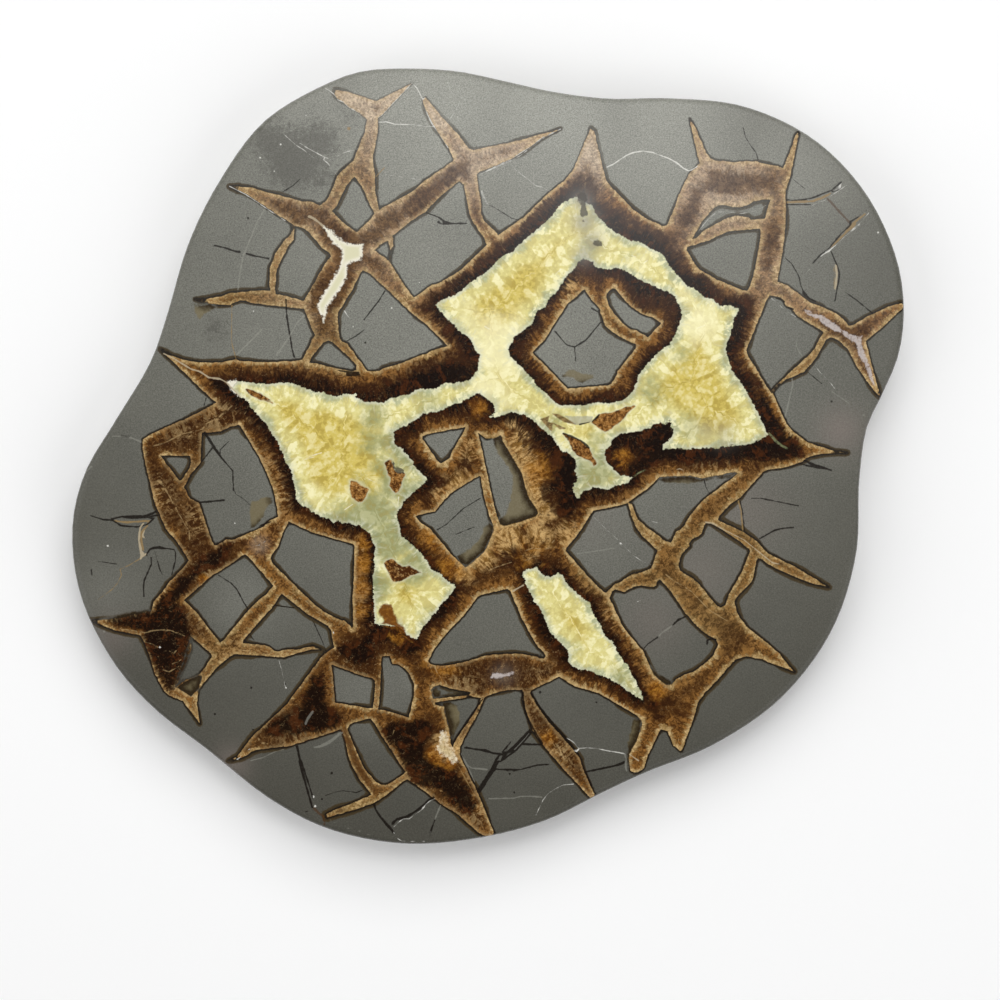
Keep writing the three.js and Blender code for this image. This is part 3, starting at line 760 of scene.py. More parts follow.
        (0.45, [(53.3, -9.5), (53.8, -11.5), (54.2, -15.8)]),
        (0.7, [(63.6, 54), (69, 54.2), (71, 54.9), (72.8, 55.8)]),
        (0.6, [(76.6, 48.4), (78, 49.8), (80, 51.3), (81.4, 52.8)]),
        (0.5, [(-9.9, -53.6), (-9, -56.6), (-8.7, -58.2)]),
        (0.2, [(29.8, -64), (30.2, -66.5)]),
        (0.3, [(-7.1, -64.8), (-6, -66.5), (-3.2, -71.6)]),
        (0.3, [(-54.5, 32.1), (-54.6, 25), (-54.4, 23.5), (-53.6, 20.6)]),
        (0.6, [(-79.5, -13.8), (-77, -14.1), (-72, -13.8)]),
        (0.6, [(-72.5, -14.8), (-73.7, -16.2), (-73.8, -18), (-73.4, -20)]),
    ],
    "brown_thread": [
        (0.5, [(72.2, 54.8), (76.9, 49.7)]),
        (1.3, [(-30.7, -58.2), (-28, -65.2), (-26.7, -67.6), (-24, -71.5)]),
        (0.6, [(-37, -75), (-36, -76), (-35, -76.7), (-34.9, -78.4)]),
    ],
    "seam": [
        (0.3, [(-70.3, -5.3), (-69, -6.6), (-67.9, -8.4)]),
        (0.3, [
            (-71.4, 2.1), (-69, 2.7), (-65.3, 4.6), (-60.8, 5.7), (-59.8, 7), (-57.7, 7.9),
            (-54.4, 10.7),
        ]),
        (0.3, [(-69.5, -5.4), (-64.7, -14.2), (-63.6, -15.9), (-63.5, -17.8)]),
        (0.25, [(-42.3, -28.8), (-38.6, -31), (-36.4, -33.2), (-33.5, -34.7)]),
        (0.25, [(20.6, 56), (20.7, 58.5), (21.3, 62)]),
        (0.15, [(2.4, 46), (3, 44.5), (3.8, 43.5)]),
        (0.25, [
            (37.8, -25.2), (39.5, -26.5), (41.5, -27.6), (43.5, -29), (47, -32.7), (51.5, -35.5),
        ]),
        (0.3, [
            (-53, -41.3), (-50, -41.5), (-47.5, -41.4), (-45.1, -42.5), (-43, -42), (-41, -41.9),
            (-39, -41.3), (-37, -41), (-36, -41.1),
        ]),
        (0.5, [(-48.8, -60.2), (-48.2, -61), (-47, -61.2)]),
        (0.15, [(-21.5, -59.8), (-20.3, -59.3), (-20, -58.4)]),
        (0.3, [(-11.3, -44.5), (-11, -45.8), (-10.2, -47), (-9, -48), (-8.5, -49.2)]),
        (0.5, [(14.5, -61.2), (15.3, -62.4), (15.8, -63.8), (16.3, -64.6)]),
        (0.35, [
            (-78.5, -37.1), (-77, -36.9), (-73, -37.6), (-71.5, -37.2), (-69.5, -37),
            (-67.5, -37.1), (-64.5, -38.3),
        ]),
        (0.25, [(-73.2, -39.5), (-71.5, -40), (-70.2, -40.7)]),
        (0.3, [(-67.8, -41.5), (-66.8, -41.9), (-66.3, -41.4)]),
        (0.3, [(-67.2, -44.2), (-66, -43.8), (-65.3, -43.3)]),
        (0.25, [(-69.2, -45.5), (-67.8, -45.9), (-65.8, -44.8)]),
        (0.3, [(3, -18.5), (4, -18), (5, -18.3)]),
        (0.3, [(7.8, -20.2), (9.5, -19.6), (11.5, -19.8), (13, -19.6)]),
        (0.3, [(8, -22.3), (9.5, -21.5), (11, -21.2)]),
        (0.3, [(13.5, -18.6), (14.5, -17.5)]),
        (0.3, [(15, -15.5), (18.7, -15.1)]),
        (0.3, [(0.3, -24.3), (2, -23.5), (5, -22.6)]),
    ],
    "grey_seam": [
        (0.4, [(59.8, 4.9), (61.2, 3.2), (62.5, 2.2), (63.7, 1.6)]),
        (0.3, [(31, -4.4), (32, -3.6), (33.5, -3)]),
    ],
}

# Specks of the same kinds: x, y and radius.
SPECKS = {
    "crack": [
        (73.1, 11.6, 0.3), (-43.2, -48.6, 0.25), (-50, -58.2, 0.25), (-58.1, -54.9, 0.25),
        (-50.4, -49.3, 0.25), (11.1, -50.3, 0.3), (23.1, -52.4, 0.2), (-33.3, -67.5, 0.25),
        (-35.3, -73, 0.2), (4.6, -67.6, 0.25), (5.6, -71.6, 0.25), (-26.1, 24.1, 0.25),
        (-51.1, 50.6, 0.25),
    ],
    "white_thread": [
        (-80.9, -19.1, 0.3), (-53.9, -14.3, 0.2), (72.5, 43.7, 0.35), (83, 47.6, 0.25),
        (28.2, -18.6, 0.3), (-43, -49.3, 0.25), (-32.9, -37.6, 0.25), (-37.2, -72.5, 0.3),
        (-36.8, -74.5, 0.3), (22, -72.3, 0.35), (-69.8, -40.7, 0.3), (-44.1, 66.3, 0.2),
        (-48.5, 63.5, 0.2), (-45.5, 60.6, 0.2), (-38.7, 72.5, 0.2), (-49.9, 30.8, 0.25),
        (-20.5, 31.5, 0.25), (-14.6, 36.9, 0.2), (-28.7, 27.5, 0.2),
    ],
    "pale_thread": [(79.9, 8.7, 0.3), (66.6, 62.1, 0.2), (70.1, 62.2, 0.25), (-81.7, -37.4, 0.25)],
    "tan_thread": [(-29.6, 69.7, 0.5)],
}

# Crystals that catch the light: the middle of each, half its run across and up, and its width.
GLINTS = [
    (-18.5, -2, 0.3, 0.3, 0.15), (-49, -19, 0.4, 0.1, 0.2), (-47.6, -18.3, 0.2, 0.2, 0.15),
    (14.9, 39.2, 0.6, 0.5, 0.25), (-0.2, 27.3, 0.5, -0.3, 0.2), (12.5, 40.8, 0.2, 0.4, 0.15),
    (3, 31.4, 0.3, 0.2, 0.15), (45.3, 27.5, 0.8, 0.3, 0.25), (47.8, 24.5, 0.3, -0.5, 0.2),
    (41.7, 22.7, 0.4, 0.2, 0.2), (46, 31, 0.2, 0.7, 0.2), (31, 42.5, 0.5, -0.2, 0.2),
    (33.5, 41.3, 0.4, 0.3, 0.2), (-22.1, -23.8, 0.2, 0.4, 0.2), (-29.7, -10.9, 0.9, 0.6, 0.3),
    (-19.1, -9.6, 0.1, 0.9, 0.25), (-16.8, -22.8, 0.3, 0.1, 0.15), (-50.8, -62.4, 0.2, 0.1, 0.15),
    (-37, 0.2, 1.6, 0.5, 0.25), (-38.2, -0.6, 1.2, 0.4, 0.2), (-39.6, -7.8, 0.8, 0.1, 0.2),
    (-37.4, 11.4, 0.1, 0.9, 0.15), (-24.8, -5.2, 0.8, -0.4, 0.2),
]

# Soft patches, by what they do to the stone: x, y, radius and strength.
TINTS = {
    "gold": [
        (-41.5, 8.5, 3.5, 0.8), (-37.8, 6, 3.5, 0.8), (-34.3, 7.5, 3, 0.8), (-36.5, -2.2, 3, 0.8),
        (-30, 3, 6, 0.5), (2, 30, 6, 0.9), (8.5, 36, 5, 0.7), (46, 16, 7, 0.9), (49, 8.5, 5, 0.8),
        (0.5, 16.5, 4, 0.4), (40, 12, 4, 0.5), (20, -36, 4, 0.7),
    ],
    "green": [
        (-21.7, 3, 3, 0.8), (-17.3, -1.5, 3, 0.8), (-16.3, -5, 3, 0.6), (-31, -9.7, 3, 0.4),
        (-24, 8, 4, 0.8), (-24.5, -12, 6, 1.1), (-20, -6, 4.5, 1), (-30.5, -13, 5, 0.9),
        (-16.5, -8, 3.5, 1.1), (-19, 3.5, 3.5, 1.1), (-44, -3, 3, 0.6), (-21, -18, 5, 1.3),
        (-16, -24, 4, 1.2), (-24, -28, 4, 1.1), (-13, -34, 4, 0.5), (-18, 0, 5, 0.9),
        (-47, 8, 3, 0.5), (-13, 11.5, 4, 0.7), (22, -3, 6, 1), (24, 3, 4, 0.7), (35, 14, 5, 0.6),
        (41, 22, 4, 0.5), (43, 6, 4, 0.7), (30, 43, 4, 0.4), (22, 45, 3.5, 0.6), (14, 7, 3, 0.7),
        (18, -41, 4, 0.5), (28, -47, 3.5, 0.8), (-25, 3, 4.5, 0.7), (-22.5, -2, 4.5, 0.7),
        (-26.5, -6.5, 4, 0.6), (-22, -9, 4, 0.6),
    ],
    # Milky veins: the patches along the top are painted sheen that lifts the darks, the two small lower
    # ones milky calcite.
    "milky_and_sheen": [
        (-36, 77, 5, 1.5), (-28, 74, 7, 1.6), (-20, 76, 7, 1.6), (-10, 73, 6, 1.4),
        (-20, 70, 10, 1), (0, 64, 12, 1), (22, 64, 6, 1.2), (50, 57, 12, 0.9), (-40, 52, 12, 0.4),
        (-20, 48, 14, 0.5), (64, 40, 12, 0.45), (-40, 33, 10, 0.3), (80, 24, 10, 0.2),
        (-48.6, -18.9, 1.7, 0.7), (4, -46.4, 2.2, 0.5),
    ],
    "dusk": [
        (-68, -2, 7, 0.9), (-64, -10, 7, 0.9), (-60, -17, 6, 0.9), (-57, -23, 6, 1),
        (-65, 5, 6, 0.8), (-55, 9, 6, 0.7), (-62, -29, 6, 0.9), (-68, -36, 7, 1),
        (-26, -42, 7, 0.9), (-4, -48, 6, 0.9), (5, -47, 7, 1), (14, -46, 5, 0.8), (15, -56, 6, 0.7),
        (-4.5, -55.5, 4, 1), (-48, -62, 8, 0.7), (-8, -76, 9, 0.5), (-45, 17, 7, 0.5),
        (-22, -28, 6, 0.3), (12, 2, 5, 0.9), (14, -6, 4, 1), (66, 0, 7, 0.3), (-14.5, 55.5, 6, 1),
        (-7, 60, 4, 0.7), (-40, 52, 6, 0.9), (-31, 46, 6, 1), (-34, 34, 6, 1), (-22, 50.5, 5, 0.7),
        (62, 44, 7, 0.7), (76, 27, 6, 0.8), (82, 18, 5, 0.8), (-18, -24.5, 3, 1), (-20, 31, 6, 0.8),
        (-10, 38, 6, 0.9), (0, 45, 6, 0.9), (10, 53, 6, 0.9), (33, 47, 6, 0.8), (44, 38, 6, 0.9),
        (52, 28, 6, 0.9), (56, 16, 6, 0.8), (62, 4, 6, 0.8), (35, 33, 6, 0.8), (5, 18, 5, 0.6),
        (45, -1, 5, 0.9), (-13, 20, 6, 0.7), (-20, 2, 4, 0.6),
    ],
    "creamy": [
        (2.6, 23.6, 8, 1), (-4, 29, 5, 0.7), (45, 28, 5, 1), (43, 34, 4, 0.6), (0.5, 14, 6, 0.8),
        (44, 6, 3, 0.5), (-37, -8, 3, 0.5), (33, 41, 4, 0.4), (12, -37, 4, 0.5),
    ],
    "dull": [
        (-57, -42, 8, 0.5), (-48, -60, 9, 0.25), (-30, -67, 9, 0.5), (-12, -72, 9, 0.2),
        (-62, -8, 10, 0.2), (12, -58, 8, 0.2), (-30, -76, 9, 0.6), (-42, -34, 9, 0.25),
        (-32, 62, 11, 0.6), (-48, 46, 13, 0.55), (-22, 48, 10, 0.4), (-50, 33, 11, 0.55),
        (-36, 26, 9, 0.6), (66, 52, 10, 0.4), (70, 22, 9, 0.5), (62, 30, 8, 0.3),
        (-75, -20, 6, 0.8), (31, -15, 6, 0.6), (30, -22, 7, 0.9), (36, -13, 8, 0.6),
        (24, -26, 6, 0.8), (37, -30, 8, 0.9), (46, -22, 9, 0.9), (54, -16, 9, 0.8),
        (62, -8, 8, 0.5), (48, -34, 9, 0.8), (60, -30, 10, 0.8), (40, -42, 7, 0.5),
    ],
    "umber": [
        (-68, -40, 9, 1.2), (-62, -24, 8, 1.1), (-64, -8, 9, 1), (-62, 5, 9, 0.9),
        (-42, -56, 11, 1.1), (-20, -62, 9, 1), (-8, -72, 8, 0.9), (6, -47, 8, 1),
        (-28, -44, 9, 1.1), (12, -57, 7, 1.2), (18, -66, 6, 1.2), (-78, -37, 6, 0.9),
        (-32, -66, 7, 0.7), (-36, -76, 6, 0.8), (-4.5, -56, 4, 1.2), (-56, 12, 6, 0.7),
        (-47, -4, 8, 0.4), (-36, -17, 7, 0.5), (-25, -28, 8, 0.5), (-5, -47, 7, 0.8),
        (-2, 56, 5, 0.3),
    ],
    "banded": [
        (-70.5, -8.5, 3.2, 1), (-61.5, -13.5, 3, 0.9), (-56.5, 8.5, 4, 0.8), (-48.5, -3, 3.5, 0.9),
        (-43.5, -8, 3.5, 0.9), (-47, -12, 4, 0.6), (-60, -24.5, 3, 0.7), (-65.5, 5.5, 3, 0.5),
        (-26.5, -20, 4, 0.7), (-26, -30, 4, 0.7), (-50, 10, 3.5, 0.7), (-31, -13.5, 4, 0.6),
        (15, -63, 4, 0.8), (10.5, -53, 3, 0.6), (-5.5, -48.5, 4, 0.6), (12, -49, 4, 0.7),
        (-2.5, -75, 4, 0.7), (-16, -68, 3.5, 0.5), (-41, -59.5, 4, 0.5), (-60, -34, 4, 0.5),
        (-53, -42, 5, 0.5), (48, -2, 5, 0.4), (-14, 23, 6, 0.4), (26, -33, 4, 0.5),
    ],
    "ash": [
        (20, 54, 2.4, 1), (20.5, 50, 3, 1), (22, 46, 3, 0.8), (20.5, 43, 2.6, 0.8),
        (46.5, 5.5, 2.5, 0.5), (3, -46.5, 2.2, 0.35), (50, 5, 3, 0.5),
    ],
    # Paler mudstone: the broad patches along the top are painted sheen, the small lower ones paler
    # stone.
    "pale_patch_and_sheen": [
        (-12, 78, 20, 1), (15, 74, 18, 1), (38, 70, 18, 0.9), (65, 62, 14, 0.6), (-35, 74, 12, 0.6),
        (-52, -31, 8, 0.35), (-25, -50, 9, 0.35), (-82, -28, 9, 0.3), (-17, -48, 5, 0.3),
        (0, 68, 10, 0.7),
    ],
    "straw": [
        (-8.5, -62, 4, 1), (5.5, 8, 3, 0.9), (7, 3, 3, 1), (8.5, -2, 3, 1), (10.5, -7, 3, 1),
        (12, -12, 3, 0.9), (4, -17.5, 4.5, 0.9), (-4, 1, 4, 0.6), (-6, -6, 4, 0.7),
        (24, -6.5, 3, 0.6), (27, 32, 4, 0.6), (17, 37, 3, 0.8), (11, -17, 4, 0.9),
        (16.5, -16.5, 3.5, 0.7), (9, -22, 3.5, 0.6), (-1, -21.5, 3.5, 0.9), (-5, -25.5, 3, 0.7),
        (-11, -8.5, 3, 0.5), (-9, -13.5, 3, 0.6),
    ],
    "amber": [
        (-21.7, -33, 1.9, 1.3), (-20.7, -35.2, 1.9, 1.3), (-19.4, -37.4, 2.2, 1.3),
        (-11.3, -63.4, 2.6, 1), (-8, -65.3, 1.6, 1), (12.5, -60, 2.5, 0.8), (-26.5, -18, 3, 0.6),
        (-26.5, -23, 3, 0.7), (-26.5, -28, 3, 0.7), (-26.5, -33, 3, 0.6), (-12, -18, 4, 0.6),
        (-8, -24, 4, 0.7), (28.6, -0.6, 2.8, 0.75), (-10, -45, 5, 0.6), (9, -20.5, 6, 0.5),
        (-60.5, -26.6, 1.6, 1), (35.8, -50, 2.5, 0.9), (-6, -52, 4, 0.5), (10.5, -3, 5, 0.6),
        (-2, 10.5, 3, 0.7),
    ],
    "grit": [
        (-41, 63.5, 8, 1), (-36, 60, 5, 0.7), (-46, 67, 6, 0.8), (-36, 67, 6, 0.8),
        (-58, 27, 4, 0.6), (-30, 73, 6, 0.4), (-37, 73, 5, 0.35),
    ],
    "pink": [
        (45, -25, 9, 0.5), (35, -35, 7, 0.5), (20, -12, 8, 0.3), (75, 5.5, 5, 1),
        (-54.5, -65.5, 4, 0.8), (-80, -38, 5, 0.6), (55, -12, 9, 0.5),
    ],
}

FAR = 20.0  # the longest distance that is stored from a wall or a border, mm
NEAR = 3.0  # the longest that is stored from a pool or a thread, mm
TILE = 8.0  # side of the squares that distances are worked out in, mm
SPECK_HALF = 0.01  # half the run of the short line that stands for a speck, mm
BACK_SHRINK = 0.035  # how much the veins draw together from the face to the back
BACK_DRIFT = (2.2, -1.6)  # how far they lean on the way, mm

# How the sawn slab's corners, edges and faces are told apart. Lengths are in metres.
WELD = 1e-6  # corners closer than this are one
LEVEL = 1e-5  # an edge that rises less than this is level
DIAGONAL_RUN = 0.0015  # a rising edge that runs farther than this across is a diagonal
TALL_RISE = 0.004  # an edge that rises more than this is on the upright part of the side
FLAT_NORMAL = 0.999  # upward share of the normal of the face and the back

# The net of triangles that closes the face and the back, in shares of its spacing.
ROW_STEP = 0.87  # from one row of points to the next
RIM_GAP = 0.5  # between the slab's rim and the nearest point
LINE_GAP = 0.35  # between a wall or thread and the nearest point
RIM_CLEARANCE = 0.4  # mm: walls and threads closer to the rim than this aren't cut into the net
INSIDE_ONLY = 1  # the triangulation keeps the triangles within the rim
MERGE_WITHIN = 1e-4  # mm


def paint(code):
    """A colour written as 0xRRGGBB, in the linear values that a shader takes."""
    channels = ((code >> shift & 255) / 255 for shift in (16, 8, 0))
    return tuple(c / 12.92 if c <= 0.04045 else ((c + 0.055) / 1.055) ** 2.4 for c in channels)


# --- Distances from the drawn paths ----------------------------------------------------------


class Stretches:
    """The straight stretches of some paths, each with half its width."""

    def __init__(self):
        self.starts = []
        self.ends = []
        self.halves = []

    def loop(self, points):
        """Adds a path that closes on itself and has no width."""
        self.line(points + points[:1], 0.0)

    def line(self, points, width):
        """Adds an open path of that width."""
        for start, end in zip(points, points[1:]):
            self.starts.append(start)
            self.ends.append(end)
            self.halves.append(width / 2)

    def speck(self, x, y, radius):
        """Adds a dot, as a stretch that is too short to see."""
        self.line([(x - SPECK_HALF, y), (x + SPECK_HALF, y)], 2 * radius)

    def arrays(self):
        return np.array(self.starts), np.array(self.ends), np.array(self.halves)


def loops(*paths):
    stretches = Stretches()
    for path in paths:
        stretches.loop(path)
    return stretches


def threads(kind):
    """The cracks, threads or seams of this kind, and its specks."""
    stretches = Stretches()
    for width, points in THREADS[kind]:
        stretches.line(points, width)
    for speck in SPECKS.get(kind, []):
        stretches.speck(*speck)
    return stretches


def glints():
    """The bright crystals, as short lines."""
    stretches = Stretches()
    for x, y, across, up, width in GLINTS:
        stretches.line([(x - across, y - up), (x + across, y + up)], width)
    return stretches


def tiles(spots):
    """Square by square: the numbers of the spots in it, and its lowest and highest corner."""
    cells = np.floor(spots / TILE).astype(int)
    corners, owner = np.unique(cells, axis=0, return_inverse=True)
    owner = owner.reshape(-1)
    order = np.argsort(owner, kind="stable")
    cuts = np.searchsorted(owner[order], np.arange(1, len(corners)))
    for corner, own in zip(corners, np.split(order, cuts)):
        yield own, corner * TILE, (corner + 1) * TILE


def nearest(spots, stretches, reach):
    """Distance in mm from each spot to the nearest stretch's edge, and the place on its middle."""
    starts, ends, halves = stretches.arrays()
    lows = np.minimum(starts, ends)
    highs = np.maximum(starts, ends)
    distance = np.full(len(spots), reach)
    foot = spots.copy()
    for own, low, high in tiles(spots):
        close = np.all((highs > low - reach) & (lows < high + reach), axis=1)
        if not close.any():
            continue
        origin = starts[close]
        along = ends[close] - origin
        to_spot = spots[own][:, None, :] - origin[None, :, :]
        share = np.clip((to_spot * along).sum(2) / (along * along).sum(1), 0, 1)
        gap = to_spot - share[:, :, None] * along
        length = np.sqrt((gap * gap).sum(2)) - halves[close]
        best = length.argmin(axis=1)
        spot_rows = np.arange(len(own))
        distance[own] = np.minimum(length[spot_rows, best], reach)
        foot[own] = spots[own] - gap[spot_rows, best]
    return distance, foot


def inside(spots, stretches):
    """Whether each spot is within the loops: a ray to its right crosses them an odd number of times."""
    starts, ends, _halves = stretches.arrays()
    low_y = np.minimum(starts[:, 1], ends[:, 1])
    high_y = np.maximum(starts[:, 1], ends[:, 1])
    crossed = np.zeros(len(spots), dtype=bool)
    for own, low, high in tiles(spots):
        near = (high_y >= low[1]) & (low_y <= high[1])
        if not near.any():
            continue
        start, end = starts[near], ends[near]
        x, y = spots[own, 0][:, None], spots[own, 1][:, None]
        straddles = (start[:, 1] > y) != (end[:, 1] > y)
        rise = np.where(end[:, 1] == start[:, 1], 1.0, end[:, 1] - start[:, 1])
        crossing = start[:, 0] + (y - start[:, 1]) * (end[:, 0] - start[:, 0]) / rise
        crossed[own] = (straddles & (x < crossing)).sum(axis=1) % 2 == 1
    return crossed


def depth_within(spots, stretches, reach=FAR):
    """Distance from the loops, positive inside and negative outside, and the nearest place on them."""
    distance, foot = nearest(spots, stretches, reach)
    return np.where(inside(spots, stretches), distance, -distance), foot


VEIN_WALLS = loops(VEIN_NET, *MUDSTONE_BLOCKS.values())
FILL_BORDER = loops(STAR_FILL, STAR_ISLAND, LENS_FILL)
POOLS = {
    "dark_pool": loops(*DARK_POOLS.values()),
    "chip": loops(*CHIPS.values()),
    "olive_chip": loops(*OLIVE_CHIPS.values()),
    "grey_chip": loops(*GREY_CHIPS.values()),
    "grit_chip": loops(*GRIT_CHIPS.values()),
    "olive_stain": loops(*OLIVE_STAINS.values()),
    "pale_pool": loops(*PALE_POOLS.values()),
    "lilac_pool": loops(*LILAC_POOLS.values()),
}
LINES = {**{kind: threads(kind) for kind in THREADS}, "glint": glints()}


# --- The slab's mesh -------------------------------------------------------------------------


def pattern_place(x, y, z):
    """Where a point of the slab, in mm, lies on the drawn face: the veins lean and close with depth."""
    sunk = 1 - z / (SLAB_TOP / MM)
    shrink = 1 - BACK_SHRINK * sunk
    return (x - BACK_DRIFT[0] * sunk) / shrink, (y - BACK_DRIFT[1] * sunk) / shrink


def slab_place(point, sunk):
    """The reverse: where a drawn point comes out on the face, or on the back where sunk is 1."""
    shrink = 1 - BACK_SHRINK * sunk
    return (
        (point[0] * shrink + BACK_DRIFT[0] * sunk) * MM,
        (point[1] * shrink + BACK_DRIFT[1] * sunk) * MM,
    )


def edge_run(edge):
    """How far an edge goes across, whatever it rises."""
    return (edge.verts[0].co - edge.verts[1].co).xy.length


def edge_rise(edge):
    """How far an edge goes up or down."""
    return abs(edge.verts[0].co.z - edge.verts[1].co.z)


def opened_shell(settings):
    """The sawn slab without its flat face and back, its sides cut finely enough to carry the veins."""
    shell = bmesh.new()
    shell.from_mesh(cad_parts["slab"].data)
    bmesh.ops.remove_doubles(shell, verts=shell.verts, dist=WELD)
    flat = [f for f in shell.faces if abs(f.normal.z) > FLAT_NORMAL]
    bmesh.ops.delete(shell, geom=flat, context="FACES")

    diagonals = [e for e in shell.edges if edge_run(e) > DIAGONAL_RUN and edge_rise(e) > LEVEL]
    bmesh.ops.dissolve_edges(shell, edges=diagonals, use_verts=False)
    level = [e for e in shell.edges if edge_rise(e) < LEVEL]
    bmesh.ops.subdivide_edges(shell, edges=level, cuts=settings.side_cuts, use_grid_fill=True)
    tall = [e for e in shell.edges if edge_rise(e) > TALL_RISE]
    bmesh.ops.subdivide_edges(shell, edges=tall, cuts=settings.wall_cuts, use_grid_fill=True)
    bmesh.ops.triangulate(shell, faces=shell.faces)
    return shell


def rim_loop(shell, height):
    """The corners of the opening at that height, in order around it."""
    open_edges = [e for e in shell.edges if e.is_boundary]
    rim = [e for e in open_edges if all(abs(v.co.z - height) < LEVEL for v in e.verts)]
    edge = rim[0]
    corner = edge.verts[0]
    left = set(rim)
    loop = []
    while edge is not None:
        left.discard(edge)
        loop.append(corner)
        corner = edge.other_vert(corner)
        edge = next((e for e in corner.link_edges if e in left), None)
    return loop


def cut_lines(sunk, rim):
    """The stretches of the walls and threads at that depth, kept clear of the slab's rim."""
    sources = [VEIN_WALLS, FILL_BORDER, *POOLS.values(), *LINES.values()]
    ends = np.concatenate([np.stack(s.arrays()[:2], axis=1) for s in sources])
    ends = np.array([[slab_place(end, sunk) for end in pair] for pair in ends]) / MM
    clear, _foot = depth_within(ends.reshape(-1, 2), rim)
    return ends[(clear.reshape(-1, 2) > RIM_CLEARANCE).all(axis=1)]


def net_points(outline, rim, lines, spacing):
    """Points in staggered rows within the outline, clear of its rim and of the lines."""
    low, high = np.min(outline, axis=0), np.max(outline, axis=0)
    rows = []
    for number, y in enumerate(np.arange(low[1], high[1], spacing * ROW_STEP)):
        row = np.arange(low[0] + spacing / 2 * (number % 2), high[0], spacing)
        rows.append(np.stack([row, np.full(len(row), y)], axis=1))
    net = np.concatenate(rows)
    made = Stretches()
    for start, end in lines:
        made.line([tuple(start), tuple(end)], 0.0)
    to_rim, _foot = depth_within(net, rim)
    to_line, _foot = nearest(net, made, NEAR)
    return net[(to_rim > spacing * RIM_GAP) & (to_line > spacing * LINE_GAP)]


def close_opening(shell, sunk, spacing):
    """Fills the face's opening, or the back's where sunk is 1, with a fine net of triangles.

    The edges of its triangles run along the veins and threads.
    """
    height = SLAB_TOP * (1 - sunk)
    loop = rim_loop(shell, height)
    outline = [(v.co.x / MM, v.co.y / MM) for v in loop]
    rim = loops(outline)
    lines = cut_lines(sunk, rim)

    corners = [Vector(p) for p in outline]
    edges = []
    for start, end in lines:
        edges.append((len(corners), len(corners) + 1))
        corners += [Vector(start), Vector(end)]
    corners += [Vector(p) for p in net_points(outline, rim, lines, spacing)]
    points, _edges, triangles, origins, _from_edges, _from_faces = delaunay_2d_cdt(
        corners, edges, [list(range(len(outline)))], INSIDE_ONLY, MERGE_WITHIN
    )
    verts = []
    for point, origin in zip(points, origins):
        on_rim = next((i for i in origin if i < len(loop)), None)
        if on_rim is None:
            verts.append(shell.verts.new((point.x * MM, point.y * MM, height)))
        else:
            verts.append(loop[on_rim])
    for triangle in triangles:
        if sunk:
            triangle = triangle[::-1]
        shell.faces.new([verts[i] for i in triangle])


def store(mesh, name, values):
    """Keeps a number, or a place on the face in mm, on every point of the mesh."""
    if values.ndim == 1:
        attribute = mesh.attributes.new(name, "FLOAT", "POINT")
        attribute.data.foreach_set("value", values.astype(np.float32))
    else:
        flat = np.zeros((len(values), 3), dtype=np.float32)
        flat[:, :2] = values
        attribute = mesh.attributes.new(name, "FLOAT_VECTOR", "POINT")
        attribute.data.foreach_set("vector", flat.ravel())


def store_pattern(mesh):
    """Works out how every point of the mesh lies to the drawn walls, pools, threads and tints."""
    count = len(mesh.vertices)
    places = np.empty(count * 3)
    mesh.vertices.foreach_get("co", places)
    x, y, z = places.reshape(-1, 3).T / MM
    spots = np.stack(pattern_place(x, y, z), axis=1)
    for name, border in (("wall", VEIN_WALLS), ("fill", FILL_BORDER)):
        depth, foot = depth_within(spots, border)
        store(mesh, name, depth)
        store(mesh, name + "_foot", foot)
    for name, border in POOLS.items():
        store(mesh, name, depth_within(spots, border, NEAR)[0])
    for name, lines in LINES.items():
        store(mesh, name, nearest(spots, lines, NEAR)[0])
    for name, patches in TINTS.items():
        tint = np.zeros(count)
        for px, py, radius, strength in patches:
            away = ((spots - (px, py)) ** 2).sum(axis=1) / radius**2
            tint = np.maximum(tint, strength * np.exp(-away))
        store(mesh, name, tint)


# --- The stone's material --------------------------------------------------------------------

# Middle of the painted sheen: the mudstone is painted palest here, in mm.
PAINTED_SHEEN_MIDDLE = (0, 50, 14)  # where the mudstone is palest, in mm

# How much of the way from the nearest wall or border a noise keeps. The less it keeps, the
# longer the fibres are that it draws across the vein.
FIBRES_KEEP = 0.24
COMBS_KEEP = 0.16
FEATHERS_KEEP = 0.25
BLADES_KEEP = 0.5
TEETH_KEEP = 0.1

RELIEF_STRENGTH = 0.1
RELIEF_HEIGHT = 0.00003  # metres
ROUGHNESS_SPREAD = 0.12  # how much the grain changes the polish


class Flow:
    """A number or colour on its way through a material. Arithmetic on numbers adds Math nodes."""

    def __init__(self, finish, socket):
        self.finish = finish
        self.socket = socket

    def math(self, operation, first, second):
        settings = {"operation": operation}
        return self.finish.node("ShaderNodeMath", settings, {"Value": first, "Value_001": second})

    def __add__(self, other):
        return self.math("ADD", self, other)

    __radd__ = __add__

    def __mul__(self, other):
        return self.math("MULTIPLY", self, other)

    __rmul__ = __mul__

    def __sub__(self, other):
        return self.math("SUBTRACT", self, other)

    def __rsub__(self, other):
        return self.math("SUBTRACT", other, self)

    def __truediv__(self, other):
        return self.math("DIVIDE", self, other)


